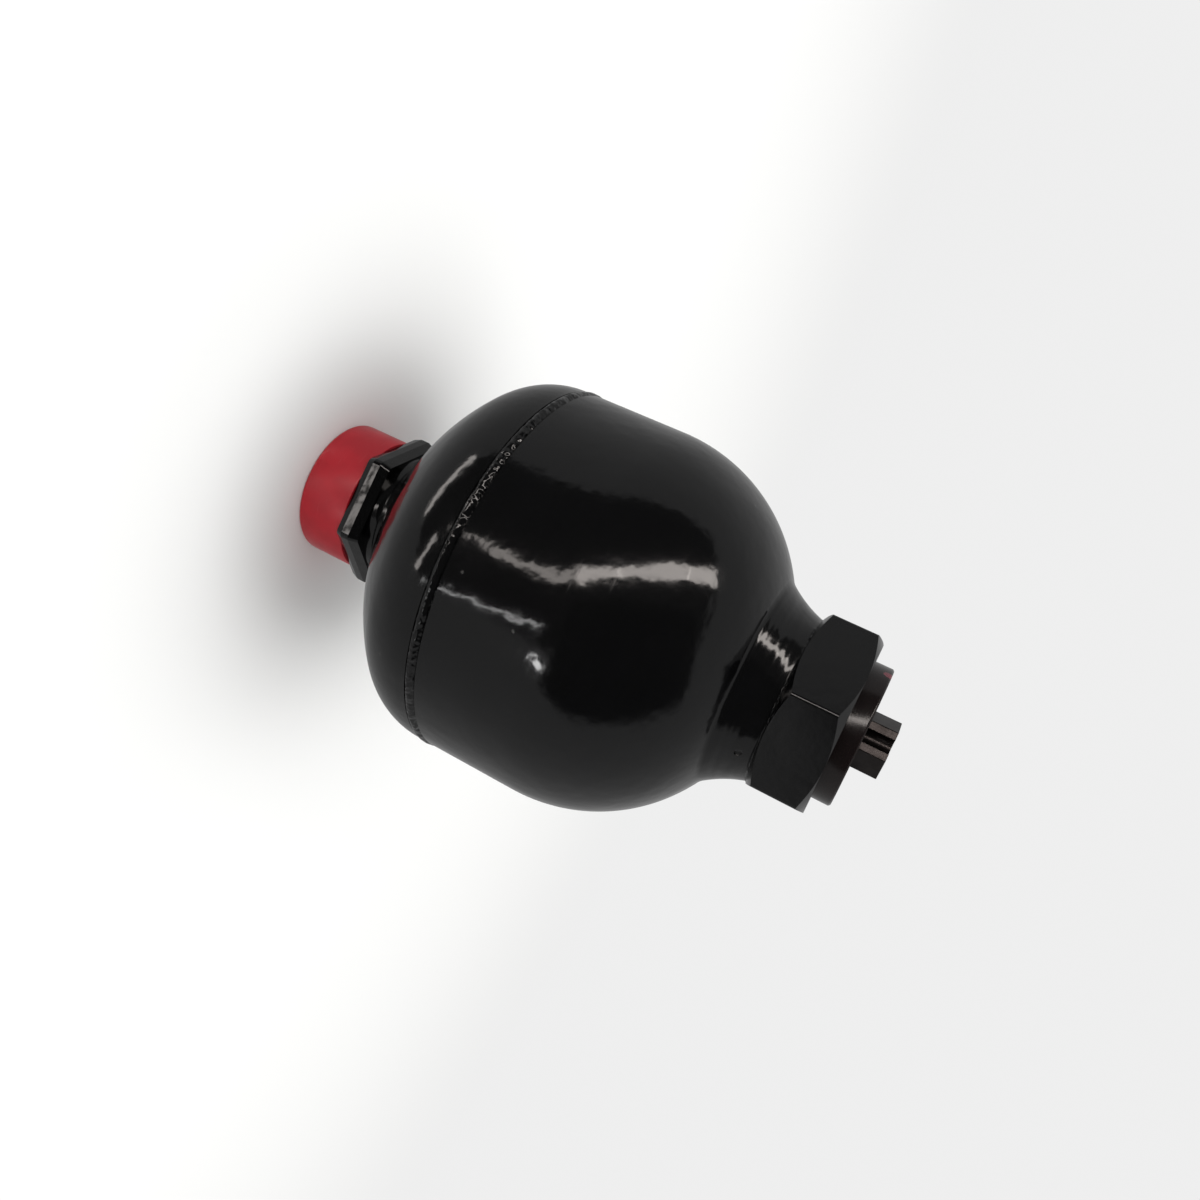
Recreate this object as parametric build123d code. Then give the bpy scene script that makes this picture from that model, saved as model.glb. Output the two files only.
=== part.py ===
from build123d import *
import os
from math import acos, asin, atan2, cos, degrees, radians, sin, sqrt, tan

# Small bladder accumulator for hydraulic systems, in millimetres.
# +Z runs along the vessel's axis, from the fluid port at the bottom to the gas screw at the top.
# The origin is the middle of the flat end of the transport cap, on which the accumulator stands.

# Pressure vessel
VESSEL_DIAMETER = 124.0
WALL = 6.0
BARREL_LENGTH = 31.7            # straight barrel above the seam
DOME_FLANGE = 3.3               # straight edge of the fluid dome below the seam
KNUCKLE_RADIUS = 25.0           # fluid dome, outside
CROWN_RADIUS = 76.0             # fluid dome, outside
GAS_DOME_DROP = 4.0             # gas dome's height is this much less than the vessel's radius
GAS_KNUCKLE_OFFSET = 6.0        # knuckle centre of the gas dome from the axis, outside
GAS_KNUCKLE_INSIDE = 38.0
GAS_DOME_CROWN_WALL = 13.5      # the gas dome thickens towards its neck
SEAM_WIDTH = 3.0                # weld at the outer surface
SEAM_ROOT = 1.0                 # weld at the inner surface
SEAM_CROWN = 0.45               # weld above the outer surface
SEAM_TOE = 0.5                  # groove left beside the weld on the barrel
SEAM_TOE_SLOPE = 0.1            # rise of the groove's floor
SEAM_PEAK_OFFSET = 0.2          # highest line of the weld below its middle

# Fluid dome boss, threaded for the port body
BOSS_DIAMETER = 47.0
BOSS_DEPTH = 11.4               # thread length through the boss
BOSS_EDGE = 1.0

# Fluid port body
PORT_THREAD_DIAMETER = 41.9
PORT_THREAD_END_CHAMFER = 1.2
PORT_UNDERCUT_WIDTH = 2.2
PORT_UNDERCUT_DEPTH = 1.6
PORT_HEX_FLATS = 46.0
PORT_HEX_HEIGHT = 16.0
PORT_HEX_BEVEL = 1.9
PORT_HEX_CORNER = 2.4            # rounding of the upright edges, more than the bevel
PORT_HEX_TURN = -87.5           # degrees, direction that one flat faces
SPIGOT_DIAMETER = 36.0
PORT_BORE = 28.0
SEAT_WIDTH = 2.3                # width of the poppet's seat, seen from above
SEAT_ANGLE = 45.0
SPIGOT_STAND = 1.4              # spigot above the boss, inside the vessel
HUB_DIAMETER = 18.0
HUB_LENGTH = 9.0
HUB_BELOW_BOSS = 8.6            # hub's lower face below the boss face
RIB_WIDTH = 4.6
RIB_LENGTH = 7.0
RIB_COUNT = 3

# Transport cap over the port thread
CAP_DIAMETER = 46.0
CAP_HEIGHT = 13.6
CAP_END = 1.8
CAP_EDGE = 1.3
CAP_FIT = 0.05                  # radial, over the thread
CAP_END_GAP = 0.3

# Anti-extrusion poppet valve
POPPET_TRAVEL = 7.0
POPPET_STEM_DIAMETER = 10.0
POPPET_STEM_BELOW_HUB = 8.5
POPPET_THREAD_DIAMETER = 8.0
POPPET_END_CHAMFER = 0.6
POPPET_RIM = 2.0
POPPET_CROWN = 1.6
POPPET_FLOOR = 0.9              # flat underside below the seat cone's inner edge
POPPET_OVERHANG = 0.4           # head beyond the seat
POPPET_SEAT_GAP = 0.1           # left over the seat when the poppet is down
BUSH_WALL = 1.5
BUSH_RUNNING_FIT = 0.03         # radial
SPRING_MEAN_DIAMETER = 14.6
SPRING_WIRE = 1.3
SPRING_TURNS = 5.0
SPRING_SEAT_HEIGHT = 0.8
SPRING_SEAT_LAP = 0.8           # seat over the bush's end, radial
CUSHION_HEIGHT = 1.5
CUSHION_INSET = 0.8             # cushion inside the hub's edge, radial
CUSHION_BORE_FIT = 0.1          # radial, round the stem
WASHER_HEIGHT = 1.3
WASHER_DIAMETER = 17.0
WASHER_BORE_FIT = 0.05          # radial, round the stem's thread
NUT_FLATS = 13.0
NUT_HEIGHT = 5.2
NUT_COLLAR_HEIGHT = 1.5
NUT_COLLAR_INSET = 0.52         # collar inside the nut's flats, radial
LOCK_RING_HEIGHT = 1.2
LOCK_RING_WIDTH = 1.1           # radial
LOCK_RING_DEPTH = 0.3           # below the collar's end face

# Neck on the gas side
NECK_ROOT_DIAMETER = 67.0       # where the gas dome turns into the neck
NECK_END_DIAMETER = 53.4
NECK_LENGTH = 13.0              # from its root to its end face
NECK_HOLLOW = 0.7               # how far the neck's flank dips inside a straight cone
NECK_ROOT_FILLET = 3.0
NECK_SHOULDER_DEPTH = 15.9      # bladder seat below the neck's end face
NECK_THREAD_LENGTH = 9.9

# Closure, lock nut and gas screw
CLOSURE_THREAD_DIAMETER = 45.0
CLOSURE_HEAD_RELIEF = 0.2       # head inside the thread, radial
CLOSURE_SEAL_RELIEF = 1.5       # sealing part inside the thread, radial
CLOSURE_THREAD_RUNOUT = 0.4     # thread left off at its lower end
CLOSURE_HEAD_BELOW_NUT = 0.5    # thread stops this far below the nut's top face
BEAD_SEAT_WIDTH = 2.5           # shoulder in the neck under the bladder's bead
CLOSURE_STAND = 5.9             # closure above the lock nut
CLOSURE_EDGE = 0.5
CLOSURE_NOSE_LENGTH = 9.5
CLOSURE_NOSE_GAP = 0.3
LOCK_NUT_FLATS = 55.0
LOCK_NUT_HEIGHT = 18.6
LOCK_NUT_CHAMFER = 30.0         # degrees
LOCK_NUT_COUNTERSINK = 0.8
LOCK_NUT_TURN = -94.5           # degrees, direction that one corner faces
THREAD_FIT = 0.03               # radial, between threads drawn as plain cylinders
GAS_CHANNEL = 4.0
GAS_SCREW_DIAMETER = 14.0
GAS_SCREW_THREAD_LENGTH = 15.0
GAS_SCREW_NOSE_DIAMETER = 11.0
GAS_SCREW_NOSE_LENGTH = 5.0
GAS_SCREW_NOSE_CHAMFER = 0.5
GAS_SCREW_NOSE_GAP = 0.5        # under the nose
GAS_SCREW_FLATS = 16.0
GAS_SCREW_STAND = 8.4
GAS_SCREW_CHAMFER = 0.45        # end face inside the flats, radial
GAS_SCREW_CONE = 30.0           # degrees, slope of the end chamfer
GAS_SCREW_TURN = -99.5          # degrees, direction that the grooved flat faces
VENT_GROOVE_WIDTH = 4.2
VENT_GROOVE_DEPTH = 2.6

# Bladder, as moulded and not stretched
BLADDER_WALL = 2.0
BLADDER_DIAMETER = 88.0
BLADDER_GAP_TO_POPPET = 5.0
BLADDER_NECK_GAP = 0.3
BLADDER_MOUTH_DROP = 0.9        # bag starts to widen this far below the neck's mouth
BLADDER_TAPER = 38.0            # height over which the bag narrows to its neck
BLADDER_STEPS = 5               # straight steps in each curve of the bag
BLADDER_NECK_STEP = 0.8         # inside of the bag's last taper below its outside
BEAD_HEIGHT = 4.0
BEAD_RING_HEIGHT = 2.0
BEAD_RING_FIT = 0.1             # radial, in the neck
BEAD_RING_BORE_FIT = 0.15       # radial, round the closure's nose

# Seals
RING_CLEARANCE = 0.02
PORT_RING_SECTION = 2.4
PORT_BACKUP_HEIGHT = 1.2
CLOSURE_RING_SECTION = 2.2
CLOSURE_RING_INSET = 2.1        # ring's middle inside the sealing bore
GAS_RING_SECTION = 1.8
GAS_RING_GROOVE = 2.4

# Places that follow from the sizes above
vessel_r = VESSEL_DIAMETER / 2
inner_r = vessel_r - WALL
boss_face = CAP_HEIGHT + PORT_HEX_HEIGHT
crown_offset = sqrt((CROWN_RADIUS - KNUCKLE_RADIUS) ** 2 - (vessel_r - KNUCKLE_RADIUS) ** 2)
crown_centre = boss_face + CROWN_RADIUS
knuckle_centre = crown_centre - crown_offset
knuckle_angle = degrees(atan2(-crown_offset, vessel_r - KNUCKLE_RADIUS))
seam = knuckle_centre + DOME_FLANGE
barrel_top = seam + BARREL_LENGTH
boss_top = boss_face + BOSS_DEPTH


def crown_radius(barrel_r, knuckle_r, height):
    """Crown radius of a dome that runs smoothly from a barrel through its knuckle to a pole height."""
    return (height ** 2 - knuckle_r ** 2 + (barrel_r - knuckle_r) ** 2) / (2 * (height - knuckle_r))


gas_dome_height = vessel_r - GAS_DOME_DROP
gas_knuckle_r = vessel_r - GAS_KNUCKLE_OFFSET
gas_crown_r = crown_radius(vessel_r, gas_knuckle_r, gas_dome_height)
gas_crown_centre = barrel_top + gas_dome_height - gas_crown_r
inner_height = gas_dome_height - GAS_DOME_CROWN_WALL
inner_crown_r = crown_radius(inner_r, GAS_KNUCKLE_INSIDE, inner_height)
neck_root_r = NECK_ROOT_DIAMETER / 2
neck_root = gas_crown_centre + sqrt(gas_crown_r ** 2 - neck_root_r ** 2)
neck_end = neck_root + NECK_LENGTH
shoulder = neck_end - NECK_SHOULDER_DEPTH
bead_top = shoulder + BEAD_HEIGHT
closure_base = bead_top + BEAD_RING_HEIGHT
nut_top = neck_end + LOCK_NUT_HEIGHT
closure_top = nut_top + CLOSURE_STAND
screw_top = closure_top + GAS_SCREW_STAND
screw_shank_base = closure_top - GAS_SCREW_THREAD_LENGTH
screw_nose_base = screw_shank_base - GAS_SCREW_NOSE_LENGTH
closure_thread_r = CLOSURE_THREAD_DIAMETER / 2
seal_bore_r = closure_thread_r - CLOSURE_SEAL_RELIEF
neck_bore_r = seal_bore_r - BEAD_SEAT_WIDTH
closure_ring_r = seal_bore_r - CLOSURE_RING_INSET
neck_mouth = barrel_top + inner_height - inner_crown_r + sqrt(inner_crown_r ** 2 - neck_bore_r ** 2)
nose_r = neck_bore_r - BLADDER_NECK_GAP - BLADDER_WALL - CLOSURE_NOSE_GAP
seam_high = (vessel_r - SEAM_TOE, seam + SEAM_WIDTH / 2 - SEAM_TOE_SLOPE)

port_end = CAP_END + CAP_END_GAP
port_thread_r = PORT_THREAD_DIAMETER / 2
port_bore_r = PORT_BORE / 2
spigot_r = SPIGOT_DIAMETER / 2
seat_top = boss_top + SPIGOT_STAND
seat_base = seat_top - SEAT_WIDTH * tan(radians(90 - SEAT_ANGLE))
hub_base = boss_face - HUB_BELOW_BOSS
hub_top = hub_base + HUB_LENGTH
hub_bore_r = POPPET_STEM_DIAMETER / 2 + BUSH_RUNNING_FIT + BUSH_WALL
stem_r = POPPET_STEM_DIAMETER / 2
head_lift = POPPET_TRAVEL + POPPET_SEAT_GAP
head_floor = seat_base - POPPET_FLOOR + head_lift
head_rim_base = seat_top + POPPET_OVERHANG + head_lift
head_rim_top = head_rim_base + POPPET_RIM
head_r = port_bore_r + SEAT_WIDTH + POPPET_OVERHANG
head_top = head_rim_top + POPPET_CROWN
spring_base = hub_top + SPRING_SEAT_HEIGHT
washer_top = hub_base - CUSHION_HEIGHT
nut_seat = washer_top - WASHER_HEIGHT
nut_base = nut_seat - NUT_HEIGHT


def point_on(centre, radius, angle):
    """Point at a direction, in degrees, on a circle in the section plane."""
    return (centre[0] + radius * cos(radians(angle)), centre[1] + radius * sin(radians(angle)))


def arc(centre, radius, start, end):
    """Arc in the section plane between two directions in degrees."""
    return CenterArc(centre, radius, start, end - start)


def dome_outline(barrel_r, knuckle_r, height, end_r):
    """Knuckle and crown arcs from the barrel's top in to a smaller radius."""
    crown_r = crown_radius(barrel_r, knuckle_r, height)
    knuckle = (barrel_r - knuckle_r, barrel_top)
    crown = (0, barrel_top + height - crown_r)
    joint = degrees(atan2(knuckle[1] - crown[1], knuckle[0]))
    return arc(knuckle, knuckle_r, 0, joint) + arc(crown, crown_r, joint, degrees(acos(end_r / crown_r)))


def turned(outline):
    """Solid of revolution about Z from a closed outline of radius against height."""
    return revolve(Plane.XZ * make_face(outline), Axis.Z)


def turned_polygon(*points):
    """Solid of revolution about Z from straight sides."""
    return turned(Polyline(*points, close=True))


def tube(outer_r, bore_r, low, high):
    """Plain ring between two heights."""
    return turned_polygon((bore_r, low), (outer_r, low), (outer_r, high), (bore_r, high))


def o_ring(mean_r, section, height):
    """Rubber ring squeezed in its groove, so flat where it bears, a little thinner than its room."""
    squeezed = RegularPolygon(section / 2 - RING_CLEARANCE, 8, major_radius=False, rotation=22.5)
    return revolve(Plane.XZ * Pos(mean_r, height) * squeezed, Axis.Z)


def hexagon_prism(flats, low, high, flat_direction):
    """Six-sided prism with one flat facing a direction in degrees."""
    outline = RegularPolygon(flats / 2, 6, major_radius=False, rotation=flat_direction + 30)
    return Pos(0, 0, low) * extrude(outline, high - low)


def shell_body():
    """Barrel, elliptical gas dome and threaded neck, forged in one piece."""
    thread_r = closure_thread_r + THREAD_FIT
    thread_base = neck_end - NECK_THREAD_LENGTH
    flank_middle = ((neck_root_r + NECK_END_DIAMETER / 2) / 2 - NECK_HOLLOW, (neck_root + neck_end) / 2)
    inside = dome_outline(inner_r, GAS_KNUCKLE_INSIDE, inner_height, neck_bore_r)
    outside = dome_outline(vessel_r, gas_knuckle_r, gas_dome_height, neck_root_r)
    neck_inside = Polyline(
        inside @ 1,
        (neck_bore_r, shoulder),
        (seal_bore_r, shoulder),
        (seal_bore_r, thread_base),
        (thread_r, thread_base),
        (thread_r, neck_end),
        (NECK_END_DIAMETER / 2, neck_end),
    )
    flank = ThreePointArc((NECK_END_DIAMETER / 2, neck_end), flank_middle, (neck_root_r, neck_root))
    edge = Polyline(
        (vessel_r, barrel_top),
        (vessel_r, seam + SEAM_WIDTH / 2 + SEAM_TOE),
        seam_high,
        (inner_r, seam + SEAM_ROOT / 2),
        (inner_r, barrel_top),
    )
    body = turned(inside + neck_inside + flank + outside + edge)
    root = body.edges().filter_by(GeomType.CIRCLE).filter_by(
        lambda e: abs(e.radius - neck_root_r) < 0.01 and abs(e.arc_center.Z - neck_root) < 0.01
    )
    return fillet(root, NECK_ROOT_FILLET)


def fluid_dome():
    """Domed end with a thick boss, threaded for the port body and counterbored for its seals."""
    knuckle = (vessel_r - KNUCKLE_RADIUS, knuckle_centre)
    crown = (0, crown_centre)
    inside_crown_r = CROWN_RADIUS - WALL
    boss_r = BOSS_DIAMETER / 2
    boss_meets = degrees(-acos(boss_r / CROWN_RADIUS))
    inner_meets = -degrees(asin((crown_centre - boss_top) / inside_crown_r))
    recess_r = spigot_r + PORT_RING_SECTION
    recess_top = boss_face + PORT_BACKUP_HEIGHT + PORT_RING_SECTION
    bore_r = spigot_r + THREAD_FIT
    outer_weld = seam - SEAM_WIDTH / 2
    inner_weld = seam - SEAM_ROOT / 2
    outside = (
        Line((vessel_r, outer_weld), (vessel_r, knuckle_centre))
        + arc(knuckle, KNUCKLE_RADIUS, 0, knuckle_angle)
        + arc(crown, CROWN_RADIUS, knuckle_angle, boss_meets)
    )
    boss = Polyline(
        point_on(crown, CROWN_RADIUS, boss_meets),
        (boss_r, boss_face + BOSS_EDGE),
        (boss_r - BOSS_EDGE, boss_face),
        (recess_r, boss_face),
        (recess_r, recess_top),
        (bore_r, recess_top),
        (bore_r, boss_top),
        point_on(crown, inside_crown_r, inner_meets),
    )
    inside = (
        arc(crown, inside_crown_r, inner_meets, knuckle_angle)
        + arc(knuckle, KNUCKLE_RADIUS - WALL, knuckle_angle, 0)
        + Polyline((inner_r, knuckle_centre), (inner_r, inner_weld), (vessel_r, outer_weld))
    )
    return turned(outside + boss + inside)


def seam_weld():
    """Girth weld that fills the groove between the dome and the barrel."""
    outer_half = SEAM_WIDTH / 2
    root_half = SEAM_ROOT / 2
    low = (vessel_r, seam - outer_half)
    crown = (vessel_r + SEAM_CROWN, seam - SEAM_PEAK_OFFSET)
    sides = Polyline(seam_high, (inner_r, seam + root_half), (inner_r, seam - root_half), low)
    return turned(ThreePointArc(low, crown, seam_high) + sides)


def seat_outline():
    """Bore and seat of the port body's upper end, as a cutter."""
    return turned_polygon(
        (0, port_end),
        (port_bore_r, port_end),
        (port_bore_r, seat_base),
        (port_bore_r + SEAT_WIDTH, seat_top),
        (0, seat_top),
    )


def fluid_port_body():
    """Port with an outer thread, a bevelled hexagon, a threaded spigot and a hub on ribs."""
    undercut_r = port_thread_r - PORT_UNDERCUT_DEPTH
    thread_run = CAP_HEIGHT - PORT_UNDERCUT_WIDTH
    lead = PORT_THREAD_END_CHAMFER
    thread = turned_polygon(
        (0, port_end),
        (port_thread_r - lead, port_end),
        (port_thread_r, port_end + lead),
        (port_thread_r, thread_run),
        (undercut_r, thread_run),
        (undercut_r, CAP_HEIGHT),
        (0, CAP_HEIGHT),
    )
    block = hexagon_prism(PORT_HEX_FLATS, CAP_HEIGHT, boss_face, PORT_HEX_TURN)
    block = fillet(block.edges().filter_by(Axis.Z), PORT_HEX_CORNER)
    block = chamfer(block.faces().sort_by(Axis.Z)[0].edges(), PORT_HEX_BEVEL)
    spigot = tube(spigot_r, port_bore_r, boss_face, seat_top)
    shell = thread + block + spigot - seat_outline()
    ribs = Part()
    for index in range(RIB_COUNT):
        rib = Pos((HUB_DIAMETER / 2 + port_bore_r) / 2, 0, 0) * Box(
            port_bore_r - hub_bore_r, RIB_WIDTH, RIB_LENGTH
        )
        ribs += Rot(0, 0, index * 360 / RIB_COUNT) * rib
    ribs = Pos(0, 0, hub_base + HUB_LENGTH / 2) * ribs
    hub = tube(HUB_DIAMETER / 2, hub_bore_r, hub_base, hub_top) + ribs
    return shell + hub


def port_backup_ring():
    """Flat ring that keeps the O-ring off the port body's shoulder."""
    outer_r = spigot_r + PORT_RING_SECTION - RING_CLEARANCE
    return tube(outer_r, spigot_r + RING_CLEARANCE, boss_face, boss_face + PORT_BACKUP_HEIGHT)


def port_o_ring():
    """O-ring in the boss's recess, round the spigot."""
    half = PORT_RING_SECTION / 2
    return o_ring(spigot_r + half, PORT_RING_SECTION, boss_face + PORT_BACKUP_HEIGHT + half)


def thread_cap():
    """Push-on plastic cap with a rounded end edge."""
    outer_r = CAP_DIAMETER / 2
    inside_r = port_thread_r + CAP_FIT
    outside = Polyline((0, 0), (outer_r - CAP_EDGE, 0))
    rounded = arc((outer_r - CAP_EDGE, CAP_EDGE), CAP_EDGE, -90, 0)
    rest = Polyline(
        (outer_r, CAP_EDGE),
        (outer_r, CAP_HEIGHT),
        (inside_r, CAP_HEIGHT),
        (inside_r, CAP_END),
        (0, CAP_END),
        (0, 0),
    )
    return turned(outside + rounded + rest)


def poppet():
    """Mushroom valve with a coned head and a guided stem, shown open."""
    stem_end = hub_base - POPPET_STEM_BELOW_HUB
    thread_r = POPPET_THREAD_DIAMETER / 2
    edge = POPPET_END_CHAMFER
    below = Polyline(
        (0, stem_end),
        (thread_r - edge, stem_end),
        (thread_r, stem_end + edge),
        (thread_r, hub_base - CUSHION_HEIGHT),
        (stem_r, hub_base - CUSHION_HEIGHT),
        (stem_r, head_floor),
        (port_bore_r - POPPET_FLOOR, head_floor),
        (head_r, head_rim_base),
        (head_r, head_rim_top),
    )
    crown_r = (head_r ** 2 + POPPET_CROWN ** 2) / (2 * POPPET_CROWN)
    crown = arc((0, head_top - crown_r), crown_r, degrees(acos(head_r / crown_r)), 90)
    axis_line = Line((0, head_top), (0, stem_end))
    return turned(below + crown + axis_line)


def guide_bush():
    """Bronze bush that guides the poppet's stem in the hub."""
    return tube(hub_bore_r, stem_r + BUSH_RUNNING_FIT, hub_base, hub_top)


def spring_seat():
    """Washer under the poppet spring."""
    return tube(HUB_DIAMETER / 2, hub_bore_r - SPRING_SEAT_LAP, hub_top, spring_base)


def poppet_spring():
    """Round-wire compression spring between the hub's seat and the poppet's head."""
    wire_r = SPRING_WIRE / 2
    length = head_floor - spring_base
    rise = length - SPRING_WIRE - 2 * RING_CLEARANCE
    path = Helix(rise / SPRING_TURNS, rise, SPRING_MEAN_DIAMETER / 2)
    start = path @ 0
    section = Plane(start, x_dir=(start.X, start.Y, 0), z_dir=path % 0) * RegularPolygon(wire_r, 6)
    coil = sweep(section, path, is_frenet=True)
    return Pos(0, 0, spring_base + wire_r + RING_CLEARANCE) * coil


def stop_cushion():
    """Soft washer that takes the knock when the poppet opens."""
    return tube(HUB_DIAMETER / 2 - CUSHION_INSET, stem_r + CUSHION_BORE_FIT, washer_top, hub_base)


def stop_washer():
    """Steel washer between the cushion and the stop nut."""
    bore_r = POPPET_THREAD_DIAMETER / 2 + WASHER_BORE_FIT
    return tube(WASHER_DIAMETER / 2, bore_r, nut_seat, washer_top)


def stop_nut():
    """Self-locking nut with a round collar at its outer end."""
    thread_r = POPPET_THREAD_DIAMETER / 2
    collar_r = NUT_FLATS / 2 - NUT_COLLAR_INSET
    collar_top = nut_base + NUT_COLLAR_HEIGHT
    block = hexagon_prism(NUT_FLATS, collar_top, nut_seat, 0)
    collar = tube(collar_r, thread_r, nut_base, collar_top)
    middle = (nut_base + nut_seat) / 2
    bore = Pos(0, 0, middle) * Cylinder(thread_r, nut_seat - nut_base)
    return block + collar - bore - nut_lock_ring()


def nut_lock_ring():
    """Plastic ring held inside the stop nut's collar."""
    thread_r = POPPET_THREAD_DIAMETER / 2
    low = nut_base + LOCK_RING_DEPTH
    return tube(thread_r + LOCK_RING_WIDTH, thread_r, low, low + LOCK_RING_HEIGHT)


def bag_outline(radius, waist, taper_start, top, neck_r):
    """Points up the side of a round-bottomed bag, from its lowest point to its neck."""
    step = 90 / BLADDER_STEPS
    bottom = [point_on((0, waist), radius, -90 + step * index) for index in range(BLADDER_STEPS + 1)]
    rise = (top - taper_start) / sqrt(1 - (neck_r / radius) ** 2)
    stop = degrees(acos(neck_r / radius)) / BLADDER_STEPS
    taper = [
        (radius * cos(radians(stop * index)), taper_start + rise * sin(radians(stop * index)))
        for index in range(BLADDER_STEPS)
    ]
    return bottom + taper + [(neck_r, top)]


def bladder():
    """Thin rubber bag with a round bottom and a bead that is clamped in the neck."""
    outer_r = BLADDER_DIAMETER / 2
    neck_r = neck_bore_r - BLADDER_NECK_GAP
    bead_r = seal_bore_r - BLADDER_NECK_GAP
    waist = head_top + BLADDER_GAP_TO_POPPET + outer_r
    bag_top = neck_mouth - BLADDER_MOUTH_DROP
    taper_start = bag_top - BLADDER_TAPER
    wall = BLADDER_WALL
    outside = bag_outline(outer_r, waist, taper_start, bag_top, neck_r)
    inner_top = bag_top - BLADDER_NECK_STEP
    inside = bag_outline(outer_r - wall, waist, taper_start, inner_top, neck_r - wall)
    bead = [(neck_r, shoulder), (bead_r, shoulder), (bead_r, bead_top), (neck_r - wall, bead_top)]
    return turned_polygon(*outside, *bead, *reversed(inside))


def bead_ring():
    """Steel ring that spreads the closure's force over the bladder's bead."""
    return tube(seal_bore_r - BEAD_RING_FIT, nose_r + BEAD_RING_BORE_FIT, bead_top, closure_base)


def closure_plug():
    """Threaded steel closure with a nose in the bladder's mouth and a bore for the gas screw."""
    thread_r = closure_thread_r
    head_r = closure_thread_r - CLOSURE_HEAD_RELIEF
    relief_r = seal_bore_r - THREAD_FIT
    channel_r = GAS_CHANNEL / 2
    screw_r = GAS_SCREW_DIAMETER / 2 + THREAD_FIT
    screw_nose_r = GAS_SCREW_NOSE_DIAMETER / 2 + THREAD_FIT
    thread_base = neck_end - NECK_THREAD_LENGTH + CLOSURE_THREAD_RUNOUT
    thread_top = nut_top - CLOSURE_HEAD_BELOW_NUT
    nose_base = closure_base - CLOSURE_NOSE_LENGTH
    channel_top = screw_nose_base - GAS_SCREW_NOSE_GAP
    body = turned_polygon(
        (channel_r, nose_base),
        (nose_r - CLOSURE_EDGE, nose_base),
        (nose_r, nose_base + CLOSURE_EDGE),
        (nose_r, closure_base),
        (relief_r, closure_base),
        (relief_r, thread_base),
        (thread_r, thread_base),
        (thread_r, thread_top),
        (head_r, thread_top),
        (head_r, closure_top - CLOSURE_EDGE),
        (head_r - CLOSURE_EDGE, closure_top),
        (screw_r, closure_top),
        (screw_r, screw_shank_base),
        (screw_nose_r, screw_shank_base),
        (screw_nose_r, channel_top),
        (channel_r, channel_top),
    )
    half = CLOSURE_RING_SECTION / 2
    groove_top = closure_base + CLOSURE_RING_SECTION
    return body - tube(closure_ring_r + half, closure_ring_r - half, closure_base, groove_top)


def closure_o_ring():
    """O-ring in the groove of the closure's lower face."""
    return o_ring(closure_ring_r, CLOSURE_RING_SECTION, closure_base + CLOSURE_RING_SECTION / 2)


def lock_nut():
    """Large hexagon nut, chamfered at both ends, locked against the neck."""
    half = LOCK_NUT_FLATS / 2
    bore_r = closure_thread_r + THREAD_FIT
    reach = half / cos(radians(30)) + 1
    drop = (reach - half) * tan(radians(LOCK_NUT_CHAMFER))
    sink = LOCK_NUT_COUNTERSINK
    blank = turned_polygon(
        (bore_r + sink, neck_end),
        (half, neck_end),
        (reach, neck_end + drop),
        (reach, nut_top - drop),
        (half, nut_top),
        (bore_r + sink, nut_top),
        (bore_r, nut_top - sink),
        (bore_r, neck_end + sink),
    )
    return blank & hexagon_prism(LOCK_NUT_FLATS, neck_end, nut_top, LOCK_NUT_TURN + 30)


def gas_screw():
    """Hexagon-ended gas screw with a sealing nose and a vent groove along one side."""
    shank_r = GAS_SCREW_DIAMETER / 2
    end_r = GAS_SCREW_NOSE_DIAMETER / 2
    floor_r = end_r + THREAD_FIT - GAS_RING_SECTION
    groove_base = screw_nose_base + (GAS_SCREW_NOSE_LENGTH - GAS_RING_GROOVE) / 2
    shank = turned_polygon(
        (0, screw_nose_base),
        (end_r - GAS_SCREW_NOSE_CHAMFER, screw_nose_base),
        (end_r, screw_nose_base + GAS_SCREW_NOSE_CHAMFER),
        (end_r, groove_base),
        (floor_r, groove_base),
        (floor_r, groove_base + GAS_RING_GROOVE),
        (end_r, groove_base + GAS_RING_GROOVE),
        (end_r, screw_shank_base),
        (shank_r, screw_shank_base),
        (shank_r, closure_top),
        (0, closure_top),
    )
    half = GAS_SCREW_FLATS / 2
    end_face_r = half - GAS_SCREW_CHAMFER
    reach = half / cos(radians(30)) + 1
    trim = turned_polygon(
        (0, closure_top),
        (reach, closure_top),
        (reach, screw_top - (reach - end_face_r) * tan(radians(GAS_SCREW_CONE))),
        (end_face_r, screw_top),
        (0, screw_top),
    )
    head = trim & hexagon_prism(GAS_SCREW_FLATS, closure_top, screw_top, GAS_SCREW_TURN)
    floor = half - VENT_GROOVE_DEPTH + VENT_GROOVE_WIDTH / 2
    length = screw_top - screw_shank_base
    slot = Pos(floor, 0, 0) * Cylinder(VENT_GROOVE_WIDTH / 2, length)
    slot += Pos(floor + half / 2, 0, 0) * Box(half, VENT_GROOVE_WIDTH, length)
    slot = Rot(0, 0, GAS_SCREW_TURN) * Pos(0, 0, (screw_top + screw_shank_base) / 2) * slot
    return shank + head - slot


def gas_screw_o_ring():
    """O-ring in the groove of the gas screw's nose."""
    mean_r = GAS_SCREW_NOSE_DIAMETER / 2 + THREAD_FIT - GAS_RING_SECTION / 2
    return o_ring(mean_r, GAS_RING_SECTION, screw_nose_base + GAS_SCREW_NOSE_LENGTH / 2)


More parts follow.
